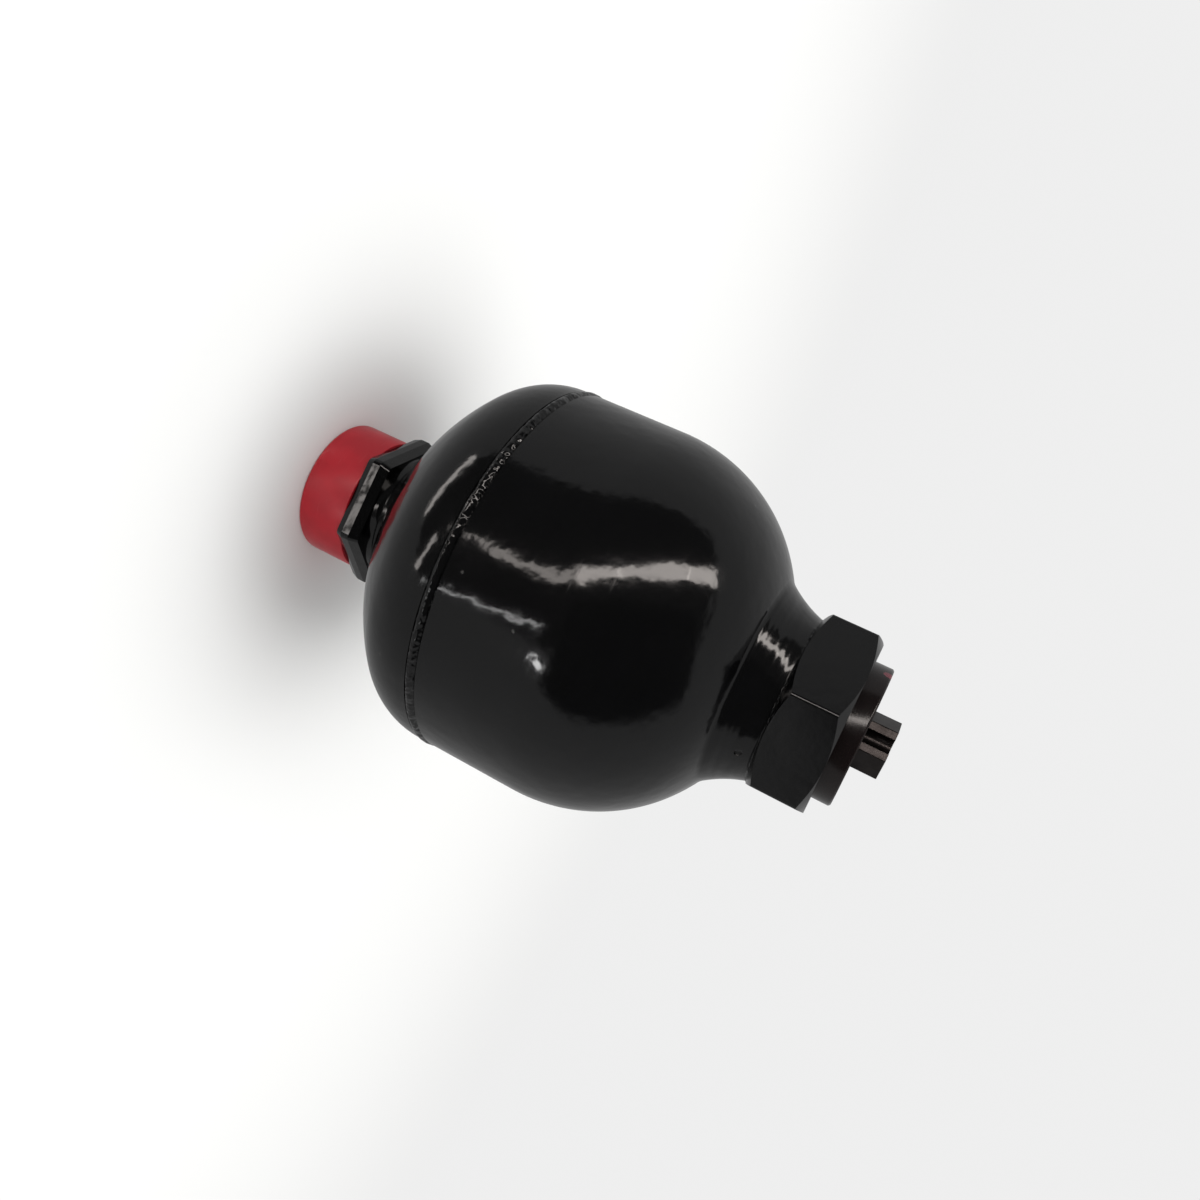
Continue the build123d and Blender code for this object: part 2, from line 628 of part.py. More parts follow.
pieces = {
    "shell_body": shell_body(),
    "fluid_dome": fluid_dome(),
    "seam_weld": seam_weld(),
    "fluid_port_body": fluid_port_body(),
    "port_backup_ring": port_backup_ring(),
    "port_o_ring": port_o_ring(),
    "thread_cap": thread_cap(),
    "poppet": poppet(),
    "guide_bush": guide_bush(),
    "spring_seat": spring_seat(),
    "poppet_spring": poppet_spring(),
    "stop_cushion": stop_cushion(),
    "stop_washer": stop_washer(),
    "stop_nut": stop_nut(),
    "nut_lock_ring": nut_lock_ring(),
    "bladder": bladder(),
    "bead_ring": bead_ring(),
    "closure_plug": closure_plug(),
    "closure_o_ring": closure_o_ring(),
    "lock_nut": lock_nut(),
    "gas_screw": gas_screw(),
    "gas_screw_o_ring": gas_screw_o_ring(),
}

os.makedirs("parts", exist_ok=True)
for name, solid in pieces.items():
    export_step(solid, f"parts/{name}.step")
    print(f"{name}: {solid.volume / 1000:.2f} cm3")
print(f"seam {seam:.2f}, neck root {neck_root:.2f}, neck end {neck_end:.2f}, top {screw_top:.2f}")
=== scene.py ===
import logging
import math
from dataclasses import dataclass, field
from enum import Enum
from typing import Callable, Mapping, Optional, Sequence, Union

import bmesh
import bpy
from mathutils import Matrix, Vector, noise


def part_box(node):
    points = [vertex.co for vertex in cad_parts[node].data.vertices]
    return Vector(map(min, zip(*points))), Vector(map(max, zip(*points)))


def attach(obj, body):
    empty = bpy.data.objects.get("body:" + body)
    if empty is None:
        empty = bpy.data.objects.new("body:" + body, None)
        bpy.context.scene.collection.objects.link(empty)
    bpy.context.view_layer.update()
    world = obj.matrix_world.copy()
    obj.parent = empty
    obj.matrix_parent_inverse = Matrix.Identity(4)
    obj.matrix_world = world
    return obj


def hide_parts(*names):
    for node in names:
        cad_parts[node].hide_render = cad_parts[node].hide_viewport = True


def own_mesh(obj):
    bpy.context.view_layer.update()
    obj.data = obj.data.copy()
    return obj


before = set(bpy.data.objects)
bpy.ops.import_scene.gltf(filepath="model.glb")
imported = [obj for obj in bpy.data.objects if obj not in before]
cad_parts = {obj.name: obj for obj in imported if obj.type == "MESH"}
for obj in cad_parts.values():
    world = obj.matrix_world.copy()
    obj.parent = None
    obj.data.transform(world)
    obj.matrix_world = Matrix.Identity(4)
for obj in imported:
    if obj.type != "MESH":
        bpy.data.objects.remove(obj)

LOG = logging.getLogger("accumulator")
METRES = 0.001
ORIGIN = Vector((0.0, 0.0, 0.0))
AXIS = Vector((0.0, 0.0, 1.0))
ACROSS = Vector((0.0, 1.0, 0.0))

Colour = tuple[float, float, float]
Number = Union[float, int, "Signal"]
Sockets = dict[Union[str, int], object]
Points = Sequence[tuple[float, float]]
Mesh = bmesh.types.BMesh
Edge = bmesh.types.BMEdge
Vert = bmesh.types.BMVert


class Body(Enum):
    """Bodies of the record that new pieces ride on."""

    VESSEL = "vessel"


class Slot(Enum):
    """Material slots of the record, one named with each new piece."""

    ENAMEL = "black_enamel"
    CAP = "red_plastic"
    PLATED = "plated_steel"
    BRIGHT = "bright_steel"
    SPRING = "spring_steel"
    RUBBER = "nitrile_rubber"


class Limit(Enum):
    """Where a corner counts as an edge, in degrees between its two faces."""

    SHADED = 32.0
    SOFTENED = 25.0


# ---------------------------------------------------------------- shader maths


class Signal:
    """A shader socket that takes part in Python arithmetic by adding Math nodes."""

    def __init__(self, graph: "Graph", socket: bpy.types.NodeSocket) -> None:
        """Wraps one output socket.

        Args:
            graph: the node graph that the socket belongs to.
            socket: the output socket.
        """
        self.graph = graph
        self.socket = socket

    def maths(self, operation: str, *others: Number) -> "Signal":
        """Result of one Math node whose first input is this signal."""
        return self.graph.maths(operation, self, *others)

    def __add__(self, other: Number) -> "Signal":
        """Sum."""
        return self.maths("ADD", other)

    def __radd__(self, other: Number) -> "Signal":
        """Sum, with the number first."""
        return self.graph.maths("ADD", other, self)

    def __sub__(self, other: Number) -> "Signal":
        """Difference."""
        return self.maths("SUBTRACT", other)

    def __rsub__(self, other: Number) -> "Signal":
        """Difference, with the number first."""
        return self.graph.maths("SUBTRACT", other, self)

    def __mul__(self, other: Number) -> "Signal":
        """Product."""
        return self.maths("MULTIPLY", other)

    def __rmul__(self, other: Number) -> "Signal":
        """Product, with the number first."""
        return self.graph.maths("MULTIPLY", other, self)

    def above(self, other: Number) -> "Signal":
        """The larger of the two."""
        return self.maths("MAXIMUM", other)

    def rise(self, start: float, end: float) -> "Signal":
        """Smooth step from 0 at start to 1 at end, which may be the lower of the two.

        Args:
            start: value at which the step leaves 0.
            end: value at which it reaches 1.

        Returns:
            The stepped signal.
        """
        low, high = min(start, end), max(start, end)
        step = self.graph.node(
            "ShaderNodeMapRange",
            {"interpolation_type": "SMOOTHSTEP"},
            {"Value": self, "From Min": low, "From Max": high},
        )
        return step if start < end else 1 - step


class Graph:
    """Node graph of a material or of the world."""

    def __init__(self, owner: Union[bpy.types.Material, bpy.types.World]) -> None:
        """Turns the owner's nodes on and empties its tree."""
        owner.use_nodes = True
        self.tree = owner.node_tree
        self.tree.nodes.clear()

    def node(
        self,
        kind: str,
        settings: Optional[Mapping[str, object]] = None,
        inputs: Optional[Sockets] = None,
        output: Union[str, int] = 0,
    ) -> Signal:
        """Adds one node.

        Args:
            kind: Blender's name for the node's type.
            settings: properties of the node, which are set first.
            inputs: values or signals of its sockets, by name or number.
            output: the output socket to return, by name or number.

        Returns:
            The chosen output.
        """
        made = self.tree.nodes.new(kind)
        for key, value in (settings or {}).items():
            setattr(made, key, value)
        for key, value in (inputs or {}).items():
            if isinstance(value, Signal):
                self.tree.links.new(value.socket, made.inputs[key])
            else:
                made.inputs[key].default_value = value
        return Signal(self, made.outputs[output]) if len(made.outputs) else Signal(self, None)

    def maths(self, operation: str, *values: Number) -> Signal:
        """One Math node with those inputs."""
        return self.node("ShaderNodeMath", {"operation": operation}, dict(enumerate(values)))

    def place(self) -> Signal:
        """Object coordinates, which are metres in the shared frame."""
        return self.node("ShaderNodeTexCoord", output="Object")

    def stretched(self, scale: tuple[float, float, float]) -> Signal:
        """Object coordinates scaled by axis."""
        return self.node("ShaderNodeMapping", None, {"Vector": self.place(), "Scale": scale})

    def mottle(self, vector: Signal, scale: float, detail: float = 2.0, rough: float = 0.5) -> Signal:
        """Fractal noise from 0 to 1.

        Args:
            vector: coordinates to read.
            scale: lumps per metre.
            detail: number of finer octaves.
            rough: weight of the finer octaves.

        Returns:
            The noise value.
        """
        return self.node(
            "ShaderNodeTexNoise", None, {"Vector": vector, "Scale": scale, "Detail": detail, "Roughness": rough}
        )

    def specks(self, vector: Signal, scale: float, size: float) -> Signal:
        """Small round specks, 1 at their middles.

        Args:
            vector: coordinates to read.
            scale: cells per metre.
            size: radius of a speck as a share of its cell.

        Returns:
            Speck mask from 0 to 1, with most cells left empty.
        """
        cell = {"Vector": vector, "Scale": scale}
        distance = self.node("ShaderNodeTexVoronoi", None, cell, "Distance")
        chance = self.node("ShaderNodeTexVoronoi", None, cell, "Color")
        pick = self.node("ShaderNodeSeparateColor", None, {"Color": chance}).rise(0.80, 0.83)
        return distance.rise(size, size * 0.4) * pick

    def measure(self, operation: str, *vectors: Union[Signal, Vector]) -> Signal:
        """The number that one Vector Math node makes of its vectors."""
        inputs = {index: item if isinstance(item, Signal) else tuple(item) for index, item in enumerate(vectors)}
        return self.node("ShaderNodeVectorMath", {"operation": operation}, inputs, "Value")

    def blend(self, factor: Number, *colours: Union[Signal, Colour]) -> Signal:
        """Mixes two colours."""
        first, second = (item if isinstance(item, Signal) else rgba(item) for item in colours)
        settings = {"data_type": "RGBA", "blend_type": "MIX", "clamp_factor": True}
        return self.node("ShaderNodeMix", settings, {0: factor, 6: first, 7: second}, 2)

    def height(self) -> Signal:
        """Height in the shared frame, in metres."""
        return self.node("ShaderNodeSeparateXYZ", None, {0: self.place()}, "Z")

    def bumps(self, *layers: tuple[Signal, float]) -> Signal:
        """Surface normal bent by heights that are laid on one another.

        Args:
            layers: heights from 0 to 1, each with the metres that 1 stands for.

        Returns:
            The bent normal.
        """
        under: Sockets = {}
        for height, distance in layers:
            inputs = {"Height": height, "Distance": distance, "Strength": 1.0, **under}
            normal = self.node("ShaderNodeBump", None, inputs)
            under = {"Normal": normal}
        return normal


def rgba(colour: Colour) -> tuple[float, float, float, float]:
    """Colour with full alpha."""
    return (*colour, 1.0)


def direction(azimuth: float, elevation: float) -> Vector:
    """Unit vector at an azimuth from +X and an elevation, in degrees."""
    a, e = math.radians(azimuth), math.radians(elevation)
    return Vector((math.cos(e) * math.cos(a), math.cos(e) * math.sin(a), math.sin(e)))


def add_object(name: str, data: bpy.types.ID) -> bpy.types.Object:
    """New object that holds some data, linked to the scene's collection."""
    made = bpy.data.objects.new(name, data)
    bpy.context.collection.objects.link(made)
    return made


def facing(place: Sequence[float], *axes: Vector) -> Matrix:
    """Transform to a place whose X, Y and Z run along three axes."""
    return Matrix.Translation(place) @ Matrix(axes).transposed().to_4x4()


# -------------------------------------------------------------------- finishes

BLACK: Colour = (0.0010, 0.0010, 0.0011)
WELD_BLACK: Colour = (0.0011, 0.0011, 0.0012)
DUST: Colour = (0.05, 0.048, 0.045)
NECK_PIT = Vector((0.01905, -0.02104, 0.16295))
CLOSURE_DAB = direction(-151.0, 0.0) * 0.0223 + Vector((0.0, 0.0, 0.1908))


@dataclass(frozen=True)
class Finish:
    """A surface finish, made into a material once."""

    name: str
    colour: Colour
    roughness: float
    metallic: float = 0.0
    ior: float = 1.5

    def material(self) -> bpy.types.Material:
        """The material of this finish, made at its first use."""
        made = bpy.data.materials.get(self.name)
        if made is None:
            made = bpy.data.materials.new(self.name)
            graph = Graph(made)
            inputs: Sockets = {
                "Base Color": rgba(self.colour),
                "Roughness": self.roughness,
                "Metallic": self.metallic,
                "IOR": self.ior,
            }
            inputs.update(self.surface(graph))
            shader = graph.node("ShaderNodeBsdfPrincipled", None, inputs)
            graph.node("ShaderNodeOutputMaterial", None, {"Surface": shader})
        return made

    def surface(self, graph: Graph) -> Sockets:
        """Sockets that vary over the surface.

        Args:
            graph: the material's node graph.

        Returns:
            Values or signals for the shader, by socket.
        """
        raise NotImplementedError


@dataclass(frozen=True)
class GlossEnamel(Finish):
    """Sprayed black gloss enamel: orange peel, slow waves, dust nibs and fine scratches."""

    peel: float = 0.000021
    swell: float = 0.000096
    wave: float = 0.0003
    turned: Optional[tuple[float, float]] = None
    pit: Optional[tuple[Vector, float]] = None

    def surface(self, graph: Graph) -> Sockets:
        """Peel, waves and nibs as a bump, with haze and rubs in the roughness."""
        place = graph.place()
        waves = graph.mottle(place, 55.0, 1.0, 0.4)
        swell = graph.mottle(place, 200.0, 1.0, 0.5)
        peel = graph.mottle(place, 500.0, 1.0, 0.5)
        nibs = graph.specks(place, 130.0, 0.075)
        haze = graph.mottle(place, 28.0, 4.0, 0.6)
        rubs = graph.mottle(graph.stretched((60.0, 60.0, 900.0)), 1.0, 3.0, 0.7).rise(0.63, 0.72)
        layers = [(waves, self.wave), (swell, self.swell), (peel, self.peel), (nibs, 0.00005)]
        if self.turned is not None:
            height = graph.height()
            low, high = self.turned
            hoops = graph.mottle(graph.stretched((45.0, 45.0, 330.0)), 1.0, 1.0, 0.5)
            hoops = hoops * height.rise(low, low + 0.002) * height.rise(high, high - 0.002)
            layers.append((hoops, 0.00045))
        tone = graph.blend(haze.rise(0.3, 0.75), self.colour, tuple(part * 1.6 for part in self.colour))
        tone = graph.blend(nibs * 0.5, tone, DUST)
        rough = self.roughness + haze.rise(0.45, 0.8) * 0.05 + nibs * 0.1
        if self.pit is not None:
            centre, radius = self.pit
            hole = graph.measure("DISTANCE", place, centre).rise(radius, radius * 0.5)
            layers.append((1 - hole, 0.001))
            rough = rough + hole * 0.5
        return {"Base Color": tone, "Roughness": rough + rubs * 0.07, "Normal": graph.bumps(*layers)}


@dataclass(frozen=True)
class MouldedPlastic(Finish):
    """Soft polyethylene with a fine moulded skin, a little paler where it is scuffed."""

    pale: Colour = (0.55, 0.10, 0.11)

    def surface(self, graph: Graph) -> Sockets:
        """Fine skin texture, uneven colour and faint scuffs round the cap."""
        place = graph.place()
        skin = graph.mottle(place, 1500.0, 2.0, 0.5)
        sink = graph.mottle(place, 70.0, 2.0, 0.5)
        scuffs = graph.mottle(graph.stretched((120.0, 120.0, 1500.0)), 1.0, 3.0, 0.6).rise(0.62, 0.78)
        clouds = graph.mottle(place, 90.0, 3.0, 0.6).rise(0.35, 0.7)
        normal = graph.bumps((sink, 0.00022), (skin, 0.000015))
        tone = graph.blend(clouds, self.colour, tuple(part * 0.86 for part in self.colour))
        tone = graph.blend(scuffs * 0.22, tone, self.pale)
        rough = self.roughness + clouds * 0.06 + scuffs * 0.1
        return {"Base Color": tone, "Roughness": rough, "Normal": normal}


@dataclass(frozen=True)
class TurnedSteel(Finish):
    """Lathe-turned steel with fine rings, stains and a dulling film."""

    stain: Colour = (0.1, 0.07, 0.06)
    stained: float = 0.5
    rings: float = 2600.0
    paint: Optional[tuple[Vector, float]] = None
    paint_colour: Colour = (0.12, 0.025, 0.035)

    def surface(self, graph: Graph) -> Sockets:
        """Turning rings as a bump, stains in colour and roughness, and a dab of marking paint."""
        place = graph.place()
        rings = graph.mottle(graph.stretched((6.0, 6.0, self.rings)), 1.0, 2.0, 0.6)
        film = graph.mottle(place, 160.0, 4.0, 0.65)
        stain = film.rise(0.42, 0.68)
        fine = graph.mottle(place, 900.0, 3.0, 0.6)
        tone = graph.blend(stain * self.stained, self.colour, self.stain)
        rough = self.roughness + film * 0.14 + rings * 0.06
        metal: Number = self.metallic
        if self.paint is not None:
            centre, radius = self.paint
            offset = graph.measure("DISTANCE", place, centre)
            dab = (offset + (fine - 0.5) * radius * 0.9).rise(radius, radius * 0.75)
            tone = graph.blend(dab, tone, self.paint_colour)
            rough = rough + dab * 0.1
            metal = (1 - dab) * self.metallic
        normal = graph.bumps((rings, 0.000012), (fine, 0.000008))
        return {"Base Color": tone, "Roughness": rough, "Metallic": metal, "Normal": normal}


@dataclass(frozen=True)
class MilledSteel(Finish):
    """Milled or drawn steel with marks along its length."""

    mark: tuple[float, float, float] = (2200.0, 2200.0, 120.0)
    stain: Colour = (0.2, 0.17, 0.15)

    def surface(self, graph: Graph) -> Sockets:
        """Lengthwise marks as a bump, with stains in colour and roughness."""
        place = graph.place()
        marks = graph.mottle(graph.stretched(self.mark), 1.0, 2.0, 0.6)
        film = graph.mottle(place, 240.0, 4.0, 0.65)
        tone = graph.blend(film.rise(0.4, 0.72) * 0.6, self.colour, self.stain)
        rough = self.roughness + film * 0.12 + marks * 0.08
        return {"Base Color": tone, "Roughness": rough, "Normal": graph.bumps((marks, 0.00001))}


@dataclass(frozen=True)
class Elastomer(Finish):
    """Moulded rubber or soft plastic with a dusty skin."""

    bloom: Colour = (0.05, 0.05, 0.05)

    def surface(self, graph: Graph) -> Sockets:
        """Fine skin as a bump, with patches of bloom in the colour."""
        place = graph.place()
        skin = graph.mottle(place, 1800.0, 3.0, 0.6)
        patches = graph.mottle(place, 60.0, 4.0, 0.6).rise(0.45, 0.75)
        tone = graph.blend(patches * 0.5, self.colour, self.bloom)
        rough = self.roughness + patches * 0.1
        return {"Base Color": tone, "Roughness": rough, "Normal": graph.bumps((skin, 0.00002))}


ENAMEL = GlossEnamel("black_gloss_enamel", BLACK, 0.10)
SHELL_ENAMEL = GlossEnamel(
    "black_gloss_enamel_on_shell", BLACK, 0.10, turned=(0.1545, 0.1680), pit=(NECK_PIT, 0.0013)
)
NUT_ENAMEL = GlossEnamel("black_gloss_enamel_on_nut", BLACK, 0.15, swell=0.00003, wave=0.0001)
WELD_ENAMEL = GlossEnamel("black_enamel_on_weld", WELD_BLACK, 0.12, peel=0.0006, swell=0.0009)
CAP_PLASTIC = MouldedPlastic("red_cap_plastic", (0.43, 0.011, 0.021), 0.32, ior=1.4)
CLOSURE_STEEL = TurnedSteel(
    "lacquered_closure_steel",
    (0.0055, 0.0032, 0.003),
    0.08,
    0.1,
    stain=(0.005, 0.003, 0.003),
    paint=(CLOSURE_DAB, 0.0017),
)
SCREW_STEEL = MilledSteel("bright_screw_steel", (0.042, 0.037, 0.036), 0.22, 1.0, stain=(0.02, 0.017, 0.016))
VALVE_STEEL = TurnedSteel("valve_steel", (0.42, 0.40, 0.38), 0.22, 1.0)
SPRING_WIRE = MilledSteel("spring_wire_steel", (0.22, 0.21, 0.20), 0.28, 1.0)
NITRILE = Elastomer("nitrile_rubber", (0.010, 0.010, 0.011), 0.55)
BACKUP_PLASTIC = Elastomer("white_backup_plastic", (0.72, 0.72, 0.70), 0.40, bloom=(0.6, 0.6, 0.56))
CUSHION_PLASTIC = Elastomer("amber_cushion_plastic", (0.45, 0.20, 0.04), 0.35, bloom=(0.35, 0.18, 0.06))
BUSH_BRONZE = TurnedSteel("bush_bronze", (0.50, 0.30, 0.14), 0.28, 1.0, stain=(0.25, 0.13, 0.06))


# ---------------------------------------- mesh tools, in millimetres and degrees


class Outline:
    """Chain of edges in the section plane, radius against height in millimetres, spun about the axis."""

    def __init__(self, radius: float, height: float) -> None:
        """Starts the chain.

        Args:
            radius: first point's distance from the axis.
            height: first point's height.
        """
        self.mesh = bmesh.new()
        self.first = self.mesh.verts.new((radius, 0.0, height))
        self.tip = self.first

    def line(self, radius: float, height: float) -> "Outline":
        """Adds one straight edge to a point."""
        made = bmesh.ops.extrude_vert_indiv(self.mesh, verts=[self.tip])
        self.tip = made["verts"][0]
        self.tip.co = (radius, 0.0, height)
        return self

    def path(self, *points: tuple[float, float]) -> "Outline":
        """Adds straight edges through points."""
        for radius, height in points:
            self.line(radius, height)
        return self

    def profile(self, points: Points, radius: float = 0.0, height: float = 0.0) -> "Outline":
        """Adds straight edges through points that are measured from a radius and a height."""
        return self.path(*((radius + out, height + up) for out, up in points))

    def arc(self, radius: float, height: float, degrees: float, steps: int) -> "Outline":
        """Adds an arc about a centre.

        Args:
            radius: centre's distance from the axis.
            height: centre's height.
            degrees: turn, positive from outwards to upwards.
            steps: number of edges.

        Returns:
            The outline.
        """
        made = spin(self.mesh, [self.tip], (radius, 0.0, height), -ACROSS, math.radians(degrees), steps)
        self.tip = only(made["geom_last"], Vert)[0]
        return self

    def turn(self, steps: int, closed: bool = True) -> Mesh:
        """Spins the chain right round.

        Args:
            steps: number of faces round the axis.
            closed: joins the last point to the first, for a ring-shaped piece.

        Returns:
            The turned mesh, with its faces pointing outwards.
        """
        if closed:
            bmesh.ops.contextual_create(self.mesh, geom=[self.tip, self.first])
        chain = self.mesh.verts[:] + self.mesh.edges[:]
        spin(self.mesh, chain, ORIGIN, AXIS, math.tau, steps, use_merge=True)
        tidy(self.mesh)
        return self.mesh


def spin(
    mesh: Mesh,
    geometry: Sequence[object],
    centre: Sequence[float],
    axis: Vector,
    angle: float,
    steps: int,
    **settings: object,
) -> dict[str, list]:
    """Spins geometry about an axis.

    Args:
        mesh: the mesh that it belongs to.
        geometry: points and edges to spin.
        centre: point on the axis.
        axis: direction of the axis.
        angle: turn in radians.
        steps: number of steps.
        settings: the operator's other settings.

    Returns:
        The operator's parts, by name.
    """
    return bmesh.ops.spin(
        mesh, geom=geometry, cent=centre, axis=axis, angle=angle, steps=steps, use_duplicate=False, **settings
    )


def only(items: Sequence[object], kind: type) -> list:
    """The items of one kind among the parts that an operator returns."""
    return [item for item in items if isinstance(item, kind)]


def tidy(mesh: Mesh) -> None:
    """Merges doubles, then points the faces outwards."""
    bmesh.ops.remove_doubles(mesh, verts=mesh.verts[:], dist=0.0005)
    bmesh.ops.recalc_face_normals(mesh, faces=mesh.faces[:])


def flatten_sides(
    mesh: Mesh, flats: float, degrees: float, tilt: float = 0.0, height: float = 0.0
) -> None:
    """Cuts a blank with six planes round the axis.

    Args:
        mesh: the blank.
        flats: distance between opposite planes at that height.
        degrees: azimuth that one plane faces.
        tilt: elevation that the planes face.
        height: height at which their distance is measured.
    """
    for index in range(6):
        azimuth = degrees + index * 60
        cut = bmesh.ops.bisect_plane(
            mesh,
            geom=mesh.verts[:] + mesh.edges[:] + mesh.faces[:],
            dist=0.0001,
            plane_co=direction(azimuth, 0.0) * flats / 2 + Vector((0.0, 0.0, height)),
            plane_no=direction(azimuth, tilt),
            clear_outer=True,
        )
        bmesh.ops.edgeloop_fill(mesh, edges=only(cut["geom_cut"], Edge))
    bmesh.ops.recalc_face_normals(mesh, faces=mesh.faces[:])


def stored(name: str, mesh: Mesh) -> bpy.types.Mesh:
    """Puts a finished mesh into Blender's data and frees it."""
    data = bpy.data.meshes.new(name)
    mesh.to_mesh(data)
    mesh.free()
    return data


def join(mesh: Mesh, other: Mesh) -> None:
    """Adds another mesh to a mesh and frees it."""
    spare = stored("spare", other)
    mesh.from_mesh(spare)
    bpy.data.meshes.remove(spare)


def round_edges(mesh: Mesh, offset: float, segments: int, chosen: Callable[[Edge], bool]) -> None:
    """Bevels the chosen edges.

    Args:
        mesh: the mesh to work on.
        offset: width of the bevel in millimetres.
        segments: number of faces across it.
        chosen: says which edges are bevelled.
    """
    edges = [edge for edge in mesh.edges if chosen(edge)]
    bmesh.ops.bevel(
        mesh,
        geom=edges,
        offset=offset,
        offset_type="OFFSET",
        segments=segments,
        profile=0.5,
        affect="EDGES",
        clamp_overlap=True,
        material=-1,
    )


def corner(edge: Edge, degrees: float = Limit.SOFTENED.value) -> bool:
    """Whether an edge's faces turn by more than that."""
    return len(edge.link_faces) == 2 and edge.calc_face_angle(0.0) > math.radians(degrees)


def upright(edge: Edge) -> bool:
    """Whether an edge runs along the axis."""
    along = edge.verts[0].co - edge.verts[1].co
    return along.length > 0 and abs(along.z) > 0.99 * along.length


def level(edge: Edge) -> bool:
    """Whether an edge runs across the axis."""
    along = edge.verts[0].co - edge.verts[1].co
    return abs(along.z) < 0.01 * along.length


def between(edge: Edge, low: float, high: float) -> bool:
    """Whether both ends of an edge lie between two heights."""
    return all(low <= vert.co.z <= high for vert in edge.verts)


def reach(vert: Vert) -> float:
    """Distance of a point from the axis."""
    return math.hypot(vert.co.x, vert.co.y)


def nearest(edge: Edge) -> float:
    """Distance from the axis of an edge's nearer end."""
    return min(reach(vert) for vert in edge.verts)


def move_out(vert: Vert, radius: float) -> None:
    """Moves a point straight out or in to a distance from the axis."""
    share = radius / reach(vert)
    vert.co.x *= share
    vert.co.y *= share


def hexagon_corner(flats: float) -> float:
    """Distance from the axis to a hexagon's corner."""
    return flats / 2 / math.cos(math.radians(30))


def heights_of(node: str) -> tuple[float, float]:
    """Lowest and highest point of a CAD node, in millimetres."""
    low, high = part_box(node)
    return low[2] / METRES, high[2] / METRES


@dataclass
class Shop:
    """Turns finished meshes into pieces and keeps the list of them."""

    made: list[bpy.types.Object] = field(default_factory=list)

    def piece(
        self,
        name: str,
        mesh: Mesh,
        finish: Finish,
        slot: Slot,
        nodes: Sequence[str] = (),
        body: Body = Body.VESSEL,
        weighted: bool = False,
        sharp: float = Limit.SHADED.value,
    ) -> bpy.types.Object:
        """Makes an object from a mesh in millimetres and lets it ride on its body.

        Args:
            name: name of the piece.
            mesh: the mesh, which is used up.
            finish: its finish.
            slot: not used.
            nodes: CAD nodes that it stands for.
            body: the body that it rides on.
            weighted: gives broad faces the say over the shading at their edges.
            sharp: turn in degrees from which an edge is shaded as a corner.

        Returns:
            The object.
        """
        bmesh.ops.scale(mesh, vec=(METRES, METRES, METRES), verts=mesh.verts[:])
        for face in mesh.faces:
            face.smooth = True
        for edge in mesh.edges:
            edge.smooth = not corner(edge, sharp)
        made = add_object(name, stored(name, mesh))
        made.data.materials.append(finish.material())
        if weighted:
            shading = made.modifiers.new("broad_faces_first", "WEIGHTED_NORMAL")
            shading.keep_sharp = True
        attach(made, body.value)
        if nodes:
            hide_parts(*nodes)
        self.made.append(made)
        return made

    @staticmethod
    def dress(node: str, finish: Finish) -> None:
        """Gives a carried-over CAD node its finish."""
        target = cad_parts[node]
        target.data.materials.clear()
        target.data.materials.append(finish.material())

    def report(self) -> None:
        """Logs each piece with its faces and size."""
        for made in self.made:
            size = " x ".join(f"{side / METRES:.1f}" for side in made.dimensions)
            LOG.info("%s: %d faces, %s mm", made.name, len(made.data.polygons), size)


# ------------------------------------------------------------------ the vessel


